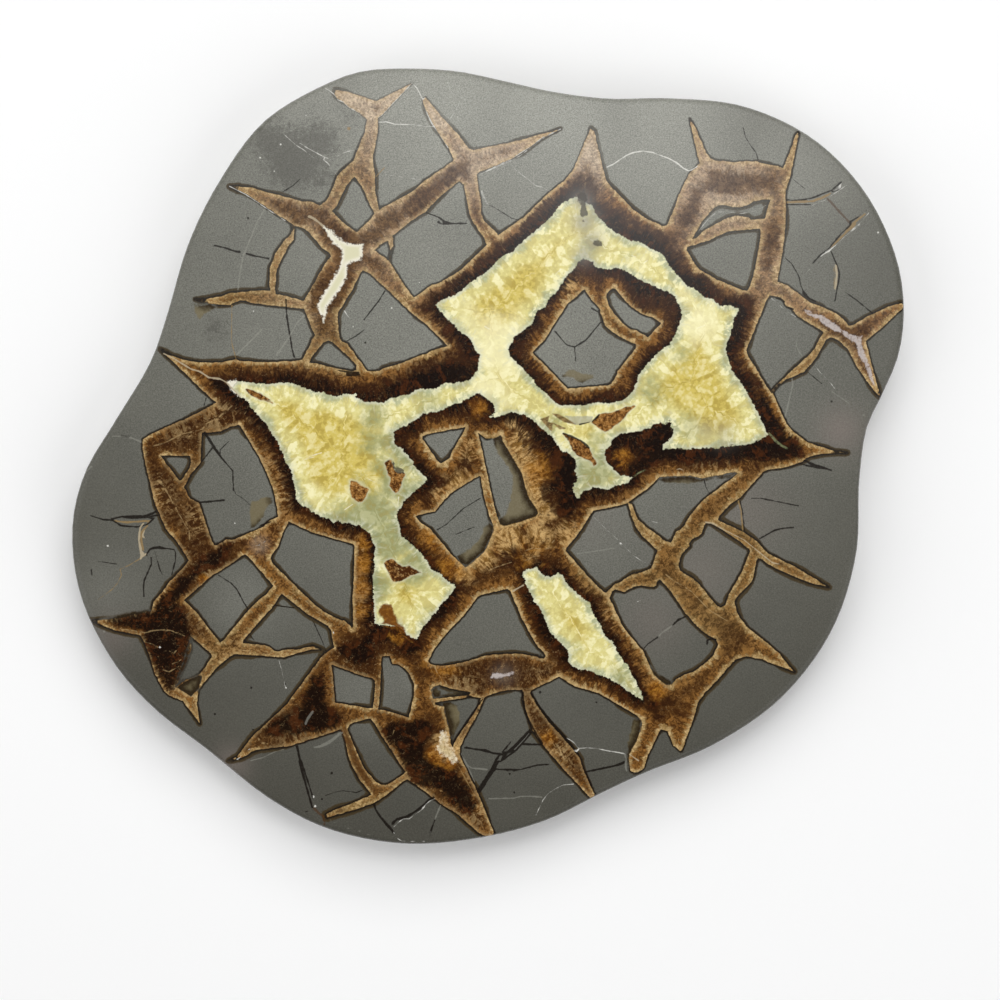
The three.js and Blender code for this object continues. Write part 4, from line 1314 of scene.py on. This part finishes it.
class Finish:
    """A material and the nodes that make it."""

    def __init__(self, name):
        self.material = bpy.data.materials.new(name)
        self.material.use_nodes = True
        self.tree = self.material.node_tree
        self.tree.nodes.clear()

    def node(self, kind, settings, inputs, output=None):
        """Adds a node, first its settings and then the values or links of its sockets."""
        node = self.tree.nodes.new(kind)
        for name, value in settings.items():
            setattr(node, name, value)
        for name, value in inputs.items():
            socket = next(s for s in node.inputs if s.identifier == name)
            if isinstance(value, Flow):
                self.tree.links.new(value.socket, socket)
            elif socket.type == "RGBA":
                socket.default_value = (*value, 1.0)
            else:
                socket.default_value = value
        made = next((s for s in node.outputs if output in (None, s.identifier)), None)
        return Flow(self, made)

    def mix(self, share, first, second):
        """The first colour where share is 0, the second where it is 1."""
        inputs = {"Factor_Float": share, "A_Color": first, "B_Color": second}
        return self.node("ShaderNodeMix", {"data_type": "RGBA"}, inputs, "Result_Color")

    def between(self, value, low, high):
        """Rises smoothly from 0 at low to 1 at high, or falls where low is the larger."""
        if low > high:
            return 1 - self.between(value, high, low)
        settings = {"interpolation_type": "SMOOTHSTEP"}
        inputs = {"Value": value, "From Min": low, "From Max": high}
        return self.node("ShaderNodeMapRange", settings, inputs)

    def noise(self, place, size, detail=2.0, roughness=0.5, distortion=0.0):
        """Cloudy noise whose clouds are about size mm across."""
        inputs = {
            "Vector": place,
            "Scale": 1 / size,
            "Detail": detail,
            "Roughness": roughness,
            "Distortion": distortion,
        }
        return self.node("ShaderNodeTexNoise", {}, inputs)

    def cells(self, place, scale, smoothness):
        """Grey cells with soft borders, scale of them to a millimetre."""
        settings = {"feature": "SMOOTH_F1"}
        inputs = {"Vector": place, "Scale": scale, "Smoothness": smoothness}
        return self.node("ShaderNodeTexVoronoi", settings, inputs, "Color")

    def stored(self, name, output="Fac"):
        return self.node("ShaderNodeAttribute", {"attribute_name": name}, {}, output)

    def toward(self, share, first, second):
        """A place that share of the way from the first to the second."""
        inputs = {"Factor_Float": share, "A_Vector": first, "B_Vector": second}
        return self.node("ShaderNodeMix", {"data_type": "VECTOR"}, inputs, "Result_Vector")

    def scaled(self, colour, amount):
        """A colour or place times a number."""
        settings = {"operation": "SCALE"}
        return self.node("ShaderNodeVectorMath", settings, {"Vector": colour, "Scale": amount})


def mudstone(stone, place, wander, look):
    """Grey mudstone: cloudy, finely grained, gritty and pinkish in places, and stained olive, and
    painted lighter and grainier toward the top middle as sheen.
    """
    inputs = {"Vector": place, "Vector_001": PAINTED_SHEEN_MIDDLE}
    away = stone.node("ShaderNodeVectorMath", {"operation": "DISTANCE"}, inputs, "Value")
    clouds = stone.noise(place, 16, detail=4)
    grain = stone.noise(place, 0.26, detail=3, roughness=0.7)
    speckle = stone.noise(place, 1.4, detail=6, roughness=0.9)
    # Painted sheen: lighter mudstone with stronger grain toward the top middle.
    painted_sheen = stone.between(away, 150, 8)
    colour = stone.mix(painted_sheen, look.mudstone_away_from_sheen, look.mudstone_painted_sheen)
    # Paler patches of mudstone, painted sheen along the top.
    colour = stone.mix(stone.stored("pale_patch_and_sheen") * 0.5, colour, look.pale_patch_and_sheen)
    shade = 0.86 + (clouds - 0.5) * 0.28 + (grain - 0.5) * (1.1 + painted_sheen * 1.1)
    colour = stone.scaled(colour, shade)
    gritty = stone.between(stone.stored("grit") * 0.4 + speckle, 0.62, 0.8)
    colour = stone.mix(gritty * 0.6, colour, look.grit)
    colour = stone.mix(stone.stored("pink") * 0.35, colour, look.pink_mudstone)
    near_wall = stone.between(stone.stored("wall") + wander * 1.5, -2.4, -0.4)
    olive = stone.mix(near_wall, look.olive, look.olive_dark)
    stain = stone.between(stone.stored("olive_stain") + wander * 1.1, -0.25, 0.25)
    return stone.mix(stain * (0.7 + near_wall * 0.3), colour, olive)


def vein_grain(stone, place):
    """The noises that the vein calcite is made of."""
    wall_foot = stone.stored("wall_foot", "Vector")
    fill_foot = stone.stored("fill_foot", "Vector")
    from_wall = stone.toward(FIBRES_KEEP, wall_foot, place)
    from_fill = stone.toward(FIBRES_KEEP, fill_foot, place)
    fibres = stone.noise(from_wall, 0.5, detail=3, roughness=0.6)
    combs = stone.noise(stone.toward(COMBS_KEEP, wall_foot, place), 1.0, detail=2)
    wisps = stone.noise(place, 0.9, detail=4, roughness=0.65, distortion=1.2)
    return SimpleNamespace(
        fibres=fibres,
        teeth=stone.noise(from_fill, 0.5, detail=3, roughness=0.6),
        combs=combs,
        wisps=wisps,
        mottle=stone.noise(place, 2.6, detail=4, roughness=0.55, distortion=0.4),
        drifts=stone.noise(place, 7, detail=2),
        fine=fibres * 0.5 + wisps * 0.5,
        patchy=stone.between(fibres * 0.35 + combs * 0.3 + wisps * 0.35, 0.44, 0.56),
    )


def fibrous_calcite(stone, depth, grain, look):
    """The vein from its wall inwards: a bright line, tan, brown, and deep brown where it is wide."""
    dull = stone.stored("dull")
    umber = stone.stored("umber")
    fibres, combs = grain.fibres - 0.5, grain.combs - 0.5
    mottle, drifts = grain.mottle - 0.5, grain.drifts - 0.5

    tan = stone.mix(stone.between(grain.fine, 0.42, 0.58), look.tan_dark, look.tan_light)
    brown = stone.mix(grain.patchy, look.brown_dark, look.brown_light)
    ragged = fibres * 3.0 + combs * 3.0 + mottle * 1.2 + drifts * 2.5
    colour = stone.mix(stone.between(depth + ragged + umber * 1.1, 0.2, 1.0), tan, brown)
    dulled = stone.mix(grain.patchy, look.dull_shade, look.dull_tan)
    colour = stone.mix(dull * 0.7, colour, dulled)
    cloudy = fibres * 5 + mottle * 3.5 + drifts * 6
    dusky = depth + cloudy + stone.stored("dusk") * 2.0 + umber * 0.8
    deep = stone.between(dusky, 1.6, 3.4)
    colour = stone.mix(deep * (0.72 - dull * 0.35), colour, look.brown_deep)
    bands = stone.between(grain.combs * 0.7 + grain.mottle * 0.3, 0.42, 0.55)
    bands = bands * stone.between(depth + ragged * 0.4, 0.1, 0.5)
    colour = stone.mix(umber * bands * 0.6, colour, look.brown_deep)
    straw = stone.between(stone.stored("straw") + mottle * 0.6 + fibres, 0.25, 0.85)
    strawy = stone.mix(grain.patchy, look.straw_shade, look.straw)
    colour = stone.mix(straw * 0.85, colour, strawy)
    # Paler, greyer veins: painted sheen along the top, milky calcite lower down.
    ashen = stone.mix(stone.between(grain.fine, 0.4, 0.6), look.milky_sheen_shade, look.milky_sheen_tan)
    colour = stone.mix(stone.stored("milky_and_sheen") * (0.85 - deep * 0.7), colour, ashen)
    gilded = grain.combs * 0.6 + grain.fibres * 0.4 + (grain.wisps - 0.5) * 0.3
    golden = stone.mix(grain.patchy, look.amber_light, look.tan_light)
    banded = stone.stored("banded") * stone.between(gilded, 0.46, 0.58)
    colour = stone.mix(banded * 0.6, colour, golden)
    bright = stone.between(depth + (grain.wisps - 0.5) * 0.4, 0.03, 0.15)
    bright = bright * stone.between(grain.drifts, 0.25, 0.55)
    bright = bright * stone.between(depth + (grain.fine - 0.5) * 3.5, 0.8, 0.3)
    near_fill = stone.between(stone.stored("fill"), -7, -3)
    return stone.mix(bright * (0.3 + near_fill * 0.4 - dull * 0.25), colour, look.tan_light)


def darkened_calcite(stone, colour, place, depth, grain, look):
    """Darkens the vein toward the fill and in its pools, with amber and pale hairs over that."""
    mottle, drifts = grain.mottle - 0.5, grain.drifts - 0.5
    across = depth / (depth - stone.stored("fill"))
    amber = stone.between(stone.stored("amber") + mottle * 0.9, 0.25, 0.75)
    dark = across + drifts * 1.1 + mottle * 0.6 + (grain.teeth - 0.5) * 1.3
    dark = dark + stone.stored("dusk") * 0.2 - amber * 0.2
    colour = stone.mix(stone.between(dark, 0.4, 0.62) * 0.85, colour, look.brown_deep)
    reddish = stone.between(grain.mottle * 0.6 + grain.teeth * 0.4, 0.5, 0.6)
    darkest = stone.mix(reddish, look.almost_black, look.red_brown)
    colour = stone.mix(stone.between(dark, 0.64, 0.84) * 0.9, colour, darkest)
    pool = stone.stored("dark_pool") + mottle * 4 + (grain.fibres - 0.5) * 3
    pool = stone.between(pool, -1.1, 0.2)
    colour = stone.mix(pool * 0.93, colour, darkest)
    glowing = stone.between(grain.mottle * 0.25 + grain.fine * 0.75, 0.42, 0.6)
    glow = stone.mix(glowing, look.amber, look.amber_light)
    colour = stone.mix(amber * stone.between(dark, 0.95, 0.6) * 0.75, colour, glow)
    curls = stone.noise(place, 1.3, detail=2, distortion=1.5) - 0.5
    hairs = stone.between(curls * curls, 0.0006, 0.0) * stone.between(grain.wisps, 0.5, 0.62)
    hairs = hairs * (0.15 + stone.stored("umber") * 0.25)
    return stone.mix(hairs * (1 - pool * 0.6), colour, look.tan_light)


def vein_calcite(stone, place, depth, look):
    """Brown calcite in fibres that stand on the vein's wall, darkest next to the fill."""
    grain = vein_grain(stone, place)
    colour = fibrous_calcite(stone, depth, grain, look)
    colour = darkened_calcite(stone, colour, place, depth, grain, look)
    crumbs = stone.noise(place, 0.4, detail=4, roughness=0.8)
    colour = stone.scaled(colour, 1 + (crumbs - 0.5) * 1.6 + (grain.wisps - 0.5) * 1.0)
    return stone.mix(stone.stored("ash") * 0.5, colour, look.ash)


def yellow_calcite(stone, place, look):
    """Yellow calcite: misty along its border, then lime-yellow, and golden in its hearts."""
    fill_foot = stone.stored("fill_foot", "Vector")
    fill = stone.stored("fill")
    from_border = stone.toward(FEATHERS_KEEP, fill_foot, place)
    feathers = stone.noise(from_border, 0.7, detail=3, roughness=0.6)
    sugar = stone.noise(place, 0.8, detail=5, roughness=0.7)
    drifts = stone.noise(place, 4.5, detail=4, roughness=0.6)
    blades = stone.cells(stone.toward(BLADES_KEEP, fill_foot, place), 0.8, 0.35)
    grains = stone.cells(place, 1.5, 0.3)

    inward = fill + (drifts - 0.5) * 5 + (feathers - 0.5) * 2
    colour = stone.mix(stone.between(inward, 0.1, 1.8), look.mist, look.lime)
    golden = stone.between(inward + stone.stored("gold") * 3.5, 3.2, 7.5)
    colour = stone.mix(golden, colour, look.gold)
    green = stone.stored("green") + (sugar - 0.5) * 0.7 + (drifts - 0.5)
    green = stone.between(green, 0.2, 0.9)
    colour = stone.mix(green * 0.8, colour, look.green_grey)
    facets = blades * 0.5 + grains * 0.3 + sugar * 0.5 - 0.15
    gleam = stone.between(facets, 0.48, 0.7) * (0.7 - green * 0.5 - golden * 0.3)
    colour = stone.mix(gleam, colour, look.crystal)
    shaded = stone.between(facets, 0.5, 0.3) * (0.3 + golden * 0.3)
    colour = stone.mix(shaded, colour, look.yellow_shade)
    creamy = stone.between(stone.stored("creamy") + (drifts - 0.5), 0.2, 0.9)
    colour = stone.mix(creamy * 0.6, colour, look.crystal)
    wispy = stone.between(feathers, 0.52, 0.66) * stone.between(fill, 3.5, 0.3)
    colour = stone.mix(wispy * 0.5, colour, look.fringe)
    brink = stone.between(fill + (feathers - 0.5) * 1.6, 0.8, 0.1)
    colour = stone.mix(brink * stone.between(drifts, 0.35, 0.65) * 0.7, colour, look.fringe)
    return stone.mix(stone.stored("ash") * (0.5 + sugar * 0.5), colour, look.ash)


def pale_and_lilac_pools(stone, colour, crumbly, look):
    """White pools with cream hearts, crumbled to crystals where the stone is straw, and lilac ones."""
    edge = stone.stored("pale_pool")
    straw = stone.stored("straw")
    heart = stone.mix(stone.between(edge, 0.1, 0.9), look.white_calcite, look.cream)
    heart = stone.mix(straw * 0.8, heart, look.tan_light)
    crystals = stone.between(crumbly, 0.3, 0.55)
    crumbled = stone.between(straw, 0.2, 0.7)
    heart = stone.scaled(heart, 1 + (crumbly - 0.5) * crumbled * 1.6)
    pale = stone.between(edge + (crumbly - 0.5) * 2.2, -0.3, 0.2)
    colour = stone.mix(pale * (1 - crumbled * (1 - crystals) * 0.8), colour, heart)
    lilac = stone.between(stone.stored("lilac_pool") + (crumbly - 0.5) * 1.2, -0.25, 0.15)
    return stone.mix(lilac * (0.45 + crystals * 0.4), colour, look.lilac)


def chips(stone, colour, place, wander, crumbly, look):
    """Splinters and grit afloat in the fill, the brown ones with a pale halo."""
    halo = stone.between(stone.stored("chip") + wander * 1.6, -0.9, 0.0)
    colour = stone.mix(halo * 0.45, colour, look.fringe)
    splinter = stone.noise(place, 0.55, detail=4, roughness=0.7)
    streaks = splinter * 0.55 + crumbly * 0.45 - stone.stored("dusk") * 0.12
    brown_chip = stone.mix(stone.between(streaks, 0.4, 0.6), look.chip_dark, look.chip_light)
    flecks = stone.between(splinter, 0.55, 0.68)
    brown_chip = stone.mix(flecks * 0.6, brown_chip, look.straw)
    dull_chip = stone.mix(stone.between(splinter, 0.4, 0.6), look.dull_shade, look.dull_tan)
    for name, chip, strength, raggedness in (
        ("chip", brown_chip, 1, 0.8),
        ("olive_chip", dull_chip, 0.95, 0.3),
        ("grey_chip", look.grey_chip, 0.7, 0.6),
        ("grit_chip", look.grit_chip, 0.85, 2),
    ):
        covered = stone.between(stone.stored(name) + wander * raggedness, -0.25, 0.05)
        colour = stone.mix(covered * strength, colour, chip)
    return colour


def wall_skin(stone, colour, place, depth, look):
    """The thin dark skin of the veins, which swells and thins along them."""
    # The skin thins and fades under the painted sheen along the top, and on milky calcite.
    milky_and_sheen = stone.stored("milky_and_sheen")
    swell = stone.between(stone.noise(place, 11, detail=1), 0.42, 0.62) * 0.45
    swell = 0.22 + swell + stone.stored("dull") * 0.3 - milky_and_sheen * 0.12
    wall_line = stone.between(depth + swell, -0.25, 0.05) * stone.between(depth, 0.14, 0.0)
    skin = stone.mix(stone.between(depth, -0.6, -0.1), look.wall_shadow, look.vein_wall)
    stained = stone.between(stone.stored("olive_stain"), -0.8, 0.2)
    wall_line = wall_line * (1 - stained * 0.7)
    return stone.mix(wall_line * (0.95 - milky_and_sheen * 0.4), colour, skin)


def fine_lines(stone, colour, place, wander, look):
    """Cracks, threads, seams and glints, which lie over everything else."""
    broken = stone.between(stone.noise(place, 1.0, detail=2), 0.36, 0.56)
    for name, thread, strength, slimmer in (
        ("brown_thread", look.brown_dark, 0.6, 0.05),
        ("tan_thread", look.dull_tan, 0.7, 0.12),
        ("crack", look.vein_wall, 0.92, 0.02),
        ("pale_thread", look.pale_thread, 0.35, 0.0),
        ("white_thread", look.white_thread, 0.8, 0.1),
        ("cream_thread", look.pale_tan, 0.8, 0.06),
        ("seam", look.tan_light, 0.42 * broken, 0.08),
        ("grey_seam", look.green_grey, 0.6 * broken, 0.0),
        ("glint", look.glint, 0.45, 0.1),
    ):
        covered = 1 - stone.between(stone.stored(name) + wander * 0.4 + slimmer, -0.04, 0.12)
        colour = stone.mix(covered * strength, colour, thread)
    return colour


def stone_finish(look):
    """The whole slab's material: mudstone, veins, fill, chips and threads over one another."""
    stone = Finish("polished_stone")
    metres = stone.node("ShaderNodeTexCoord", {}, {}, "Object")
    place = stone.scaled(metres, 1 / MM)
    wander = stone.noise(place, 1.2, detail=3) - 0.5
    crumbly = stone.noise(place, 0.7, detail=4, roughness=0.7)
    depth = stone.stored("wall") + wander * 0.45
    colour = mudstone(stone, place, wander, look)
    vein = vein_calcite(stone, place, depth, look)
    colour = stone.mix(stone.between(depth, -0.1, 0.1), colour, vein)
    colour = pale_and_lilac_pools(stone, colour, crumbly, look)

    teeth_place = stone.toward(TEETH_KEEP, stone.stored("fill_foot", "Vector"), place)
    teeth = stone.noise(teeth_place, 0.6, detail=3, roughness=0.65) - 0.5
    fill = stone.stored("fill") + teeth * 1.1
    filling = yellow_calcite(stone, place, look)
    colour = stone.mix(stone.between(fill, -0.1, 0.1), colour, filling)
    amber = stone.between(stone.stored("amber") + wander * 0.9, 0.5, 0.85)
    honey = stone.mix(stone.between(crumbly, 0.45, 0.85), look.amber, look.amber_light)
    colour = stone.mix(amber * stone.between(fill, -1, 0.2) * 0.98, colour, honey)
    colour = chips(stone, colour, place, wander, crumbly, look)
    colour = wall_skin(stone, colour, place, depth, look)
    colour = fine_lines(stone, colour, place, wander, look)

    grain = stone.noise(place, 0.5, detail=3)
    on_calcite = stone.between(depth, -0.2, 0.4)
    smoother = look.calcite_roughness - look.mudstone_roughness
    roughness = look.mudstone_roughness + on_calcite * smoother
    relief = {"Height": grain, "Strength": RELIEF_STRENGTH, "Distance": RELIEF_HEIGHT}
    inputs = {
        "Specular IOR Level": look.shine,
        "Base Color": colour,
        "Roughness": roughness + (grain - 0.5) * ROUGHNESS_SPREAD,
        "Normal": stone.node("ShaderNodeBump", {}, relief),
    }
    shader = stone.node("ShaderNodeBsdfPrincipled", {}, inputs)
    stone.node("ShaderNodeOutputMaterial", {}, {"Surface": shader})
    return stone.material


# --- The slab and the stage, as tools with settings ------------------------------------------


def colour_setting(name, description, code):
    """A colour that can be picked in the sidebar, given as 0xRRGGBB."""
    return bpy.props.FloatVectorProperty(
        name=name, description=description, default=paint(code), subtype="COLOR", size=3, min=0, max=1
    )


class SlabSettings(bpy.types.PropertyGroup):
    """How finely the slab's points are set."""

    face_spacing: bpy.props.FloatProperty(
        name="Face spacing",
        description="Between points of the polished face, in mm",
        default=0.68,
        min=0.3,
    )
    back_spacing: bpy.props.FloatProperty(
        name="Back spacing",
        description="Between points of the sawn back, in mm",
        default=1.25,
        min=0.5,
    )
    side_cuts: bpy.props.IntProperty(
        name="Side cuts",
        description="Cuts in each straight stretch of the side",
        default=3,
        min=1,
    )
    wall_cuts: bpy.props.IntProperty(
        name="Wall cuts",
        description="Level cuts down the upright part of the side",
        default=12,
        min=1,
    )


class StoneColours(bpy.types.PropertyGroup):
    """The colours of the stone, and how rough its polish is."""

    # Painted sheen: the mudstone's darker end, and its lighter end painted toward the top middle.
    mudstone_away_from_sheen: colour_setting("Mudstone, low end", "Grey of the darker end", 0x4F4D45)
    mudstone_painted_sheen: colour_setting("Mudstone, high end", "Grey of the lighter end", 0x86867D)
    # Palest mudstone, painted as sheen along the top.
    pale_patch_and_sheen: colour_setting("Bleached mudstone", "Palest mudstone", 0xB2B2A8)
    grit: colour_setting("Grit", "Dark specks in the gritty patch", 0x4C4A44)
    pink_mudstone: colour_setting("Pinkish mudstone", "Mudstone with a pink tinge", 0x8E7F79)
    olive: colour_setting("Olive stain", "Stained mudstone", 0x746848)
    olive_dark: colour_setting("Dark olive", "Stain against a vein", 0x2C2110)
    vein_wall: colour_setting("Vein wall", "Thin dark skin of the veins, and cracks", 0x140D07)
    wall_shadow: colour_setting("Wall shadow", "Mudstone just outside the veins", 0x40341F)
    tan_dark: colour_setting("Dark tan", "Band inside the wall", 0x896B3C)
    tan_light: colour_setting("Light tan", "Bright fibres, hairs and seams", 0xC0A474)
    brown_dark: colour_setting("Dark brown", "Vein calcite", 0x4A2C10)
    brown_light: colour_setting("Light brown", "Vein calcite", 0x835A2A)
    brown_deep: colour_setting("Deep brown", "Heart of a wide vein", 0x321A08)
    almost_black: colour_setting("Almost black", "Calcite next to the fill", 0x120703)
    red_brown: colour_setting("Red-brown", "Streaks in the darkest calcite", 0x40200A)
    amber: colour_setting("Amber", "Warm patches", 0x6A3C0C)
    amber_light: colour_setting("Light amber", "Warm patches and golden bands", 0xAA7428)
    straw: colour_setting("Straw", "Palest brown calcite", 0xC8A46C)
    straw_shade: colour_setting("Straw shade", "Palest brown calcite", 0x8A6530)
    dull_tan: colour_setting("Dull tan", "Olive-brown veins and healed cracks", 0x94794C)
    dull_shade: colour_setting("Dull shade", "Olive-brown veins", 0x5E4A2A)
    # Pale grey-tan veins, painted sheen along the top and milky calcite lower down.
    milky_sheen_tan: colour_setting("Milky tan", "Pale upper veins", 0xC2AE94)
    milky_sheen_shade: colour_setting("Milky shade", "Pale upper veins", 0x94826E)
    ash: colour_setting("Ash", "Grey clouds in the calcite", 0x8E8C84)
    lilac: colour_setting("Lilac calcite", "Grey-lilac pools", 0xC2B8B4)
    white_calcite: colour_setting("White calcite", "Rim of the pale pools", 0xE9E4D2)
    cream: colour_setting("Cream calcite", "Middle of the pale pools", 0xD8D4B2)
    mist: colour_setting("Mist", "Border of the fill", 0xB0B48E)
    lime: colour_setting("Lime yellow", "Calcite fill", 0xDED48C)
    gold: colour_setting("Gold", "Hearts of the fill", 0xD2BE62)
    green_grey: colour_setting("Green-grey", "Murky fill and seams", 0x868D66)
    yellow_shade: colour_setting("Shaded yellow", "Between crystals", 0xA08838)
    crystal: colour_setting("Crystal", "Bright sugary crystals", 0xFCF6C8)
    fringe: colour_setting("Fringe", "Edge of the fill and around its chips", 0xD8D8C0)
    chip_dark: colour_setting("Dark chip", "Splinters in the fill", 0x44240C)
    chip_light: colour_setting("Light chip", "Splinters in the fill", 0xA8763A)
    grit_chip: colour_setting("Dark grit", "Specks of dark grit in the fill", 0x3E382F)
    grey_chip: colour_setting("Grey chip", "Splinter of mudstone", 0xA0A08F)
    pale_tan: colour_setting("Pale tan thread", "Cream threads of calcite", 0xB5A68A)
    pale_thread: colour_setting("Pale thread", "Faint hairlines", 0x9C9B90)
    white_thread: colour_setting("White thread", "Calcite hairlines", 0xE2E0D8)
    glint: colour_setting("Glint", "Crystals that catch the light", 0xFFFDF2)
    mudstone_roughness: bpy.props.FloatProperty(
        name="Mudstone roughness",
        description="Of the polished mudstone",
        default=0.27,
        min=0,
        max=1,
    )
    calcite_roughness: bpy.props.FloatProperty(
        name="Calcite roughness",
        description="Of the polished calcite",
        default=0.17,
        min=0,
        max=1,
    )
    shine: bpy.props.FloatProperty(
        name="Shine",
        description="How strongly the polish mirrors the lights",
        default=0.2,
        min=0,
        max=1,
    )


class StageSettings(bpy.types.PropertyGroup):
    """Where the camera stands, and how bright the lights are."""

    camera_height: bpy.props.FloatProperty(
        name="Camera height",
        description="Above the floor",
        default=0.45,
        min=0.2,
        unit="LENGTH",
    )
    view_width: bpy.props.FloatProperty(
        name="View width",
        description="That the camera takes in at the face",
        default=0.21277,
        unit="LENGTH",
    )
    lamp_power: bpy.props.FloatProperty(
        name="Lamp power",
        description="Of the main lamp",
        default=5.2,
        min=0,
        unit="POWER",
    )
    sky_strength: bpy.props.FloatProperty(
        name="Sky strength",
        description="Of the light from all around",
        default=0.12,
        min=0,
    )


class SEPTARIAN_OT_slab(bpy.types.Operator):
    """Dress the sawn slab: a finely cut copy of it that carries the veins, in polished stone"""

    bl_idname = "septarian.slab"
    bl_label = "Dress the slab"

    def execute(self, context):
        settings = context.scene.septarian_slab
        shell = opened_shell(settings)
        close_opening(shell, 0, settings.face_spacing)
        close_opening(shell, 1, settings.back_spacing)
        for face in shell.faces:
            face.smooth = True
        mesh = bpy.data.meshes.new("dressed_slab")
        shell.to_mesh(mesh)
        shell.free()
        if not mesh.polygons:
            raise RuntimeError("The slab came out without faces.")
        store_pattern(mesh)
        mesh.materials.append(stone_finish(context.scene.septarian_colours))
        slab = bpy.data.objects.new("dressed_slab", mesh)
        context.scene.collection.objects.link(slab)
        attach(slab, "root")
        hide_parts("slab")
        return {"FINISHED"}


FLOOR_HALF = 1.5  # metres
FLOOR_PAINT = 0xFBFBFB
SENSOR_WIDTH = 36  # mm
CAMERA_OVER = (0.00255, -0.00936)  # the place on the floor that the camera hangs over, metres

# Soft square lamps: place, target, side, and power as a share of the main lamp's.
LAMPS = {
    "window": ((0.09, 0.5, 0.78), (0, 0.02, 0), 0.8, 1.0),
    "room": ((-0.7, -0.1, 0.55), (0, 0, 0), 0.9, 0.7),
    "bounce": ((0.6, -0.45, 0.55), (0, 0, 0), 0.9, 0.7),
    "sheen": ((0.05, 0.26, 0.78), (0, 0, 0), 0.2, 0.13),
}


def lamp(name, place, target, size, power):
    """A square soft light that faces the target."""
    light = bpy.data.lights.new(name, "AREA")
    light.size = size
    light.energy = power
    holder = bpy.data.objects.new(name, light)
    holder.location = place
    holder.rotation_euler = (Vector(target) - Vector(place)).to_track_quat("-Z", "Y").to_euler()
    return holder


def pale_floor():
    """A wide sheet of pale paper for the slab to lie on."""
    sheet = bmesh.new()
    bmesh.ops.create_grid(sheet, x_segments=1, y_segments=1, size=FLOOR_HALF)
    mesh = bpy.data.meshes.new("floor")
    sheet.to_mesh(mesh)
    sheet.free()
    paper = Finish("pale_floor")
    inputs = {"Base Color": paint(FLOOR_PAINT), "Roughness": 0.9}
    shader = paper.node("ShaderNodeBsdfPrincipled", {}, inputs)
    paper.node("ShaderNodeOutputMaterial", {}, {"Surface": shader})
    mesh.materials.append(paper.material)
    return bpy.data.objects.new("floor", mesh)


def soft_sky(strength):
    world = bpy.data.worlds.new("soft_sky")
    world.use_nodes = True
    sky = world.node_tree.nodes["Background"]
    sky.inputs["Color"].default_value = (1, 1, 1, 1)
    sky.inputs["Strength"].default_value = strength
    return world


def camera_above(height, view_width):
    """A camera that looks straight down and takes in that width at the polished face."""
    lens = bpy.data.cameras.new("camera")
    lens.sensor_width = SENSOR_WIDTH
    lens.lens = SENSOR_WIDTH * (height - SLAB_TOP) / view_width
    lens.clip_start = 0.01
    camera = bpy.data.objects.new("camera", lens)
    camera.location = (*CAMERA_OVER, height)
    return camera


class SEPTARIAN_OT_stage(bpy.types.Operator):
    """Lay a pale floor, hang the lights and set the camera straight above the slab"""

    bl_idname = "septarian.stage"
    bl_label = "Set the stage"

    def execute(self, context):
        scene = context.scene
        settings = scene.septarian_stage
        floor = pale_floor()
        scene.collection.objects.link(floor)
        for name, (place, target, size, share) in LAMPS.items():
            light = lamp(name, place, target, size, settings.lamp_power * share)
            scene.collection.objects.link(light)
        scene.world = soft_sky(settings.sky_strength)
        scene.view_settings.view_transform = "Standard"
        camera = camera_above(settings.camera_height, settings.view_width)
        scene.collection.objects.link(camera)
        scene.camera = camera
        return {"FINISHED"}


class SEPTARIAN_PT_sidebar(bpy.types.Panel):
    """The slab's tools and settings"""

    bl_label = "Septarian slab"
    bl_space_type = "VIEW_3D"
    bl_region_type = "UI"
    bl_category = "Septarian"

    def draw(self, context):
        scene = context.scene
        for operator, settings in (
            (SEPTARIAN_OT_slab, (scene.septarian_slab, scene.septarian_colours)),
            (SEPTARIAN_OT_stage, (scene.septarian_stage,)),
        ):
            self.layout.operator(operator.bl_idname)
            for group in settings:
                for name in group.bl_rna.properties.keys():
                    if name not in {"rna_type", "name"}:
                        self.layout.prop(group, name)


CLASSES = (
    SlabSettings,
    StoneColours,
    StageSettings,
    SEPTARIAN_OT_slab,
    SEPTARIAN_OT_stage,
    SEPTARIAN_PT_sidebar,
)


def register():
    for cls in CLASSES:
        bpy.utils.register_class(cls)
    bpy.types.Scene.septarian_slab = bpy.props.PointerProperty(type=SlabSettings)
    bpy.types.Scene.septarian_colours = bpy.props.PointerProperty(type=StoneColours)
    bpy.types.Scene.septarian_stage = bpy.props.PointerProperty(type=StageSettings)


def unregister():
    del bpy.types.Scene.septarian_stage
    del bpy.types.Scene.septarian_colours
    del bpy.types.Scene.septarian_slab
    for cls in reversed(CLASSES):
        bpy.utils.unregister_class(cls)


def main():
    register()
    bpy.ops.septarian.slab()
    bpy.ops.septarian.stage()


if __name__ == "__main__":
    main()
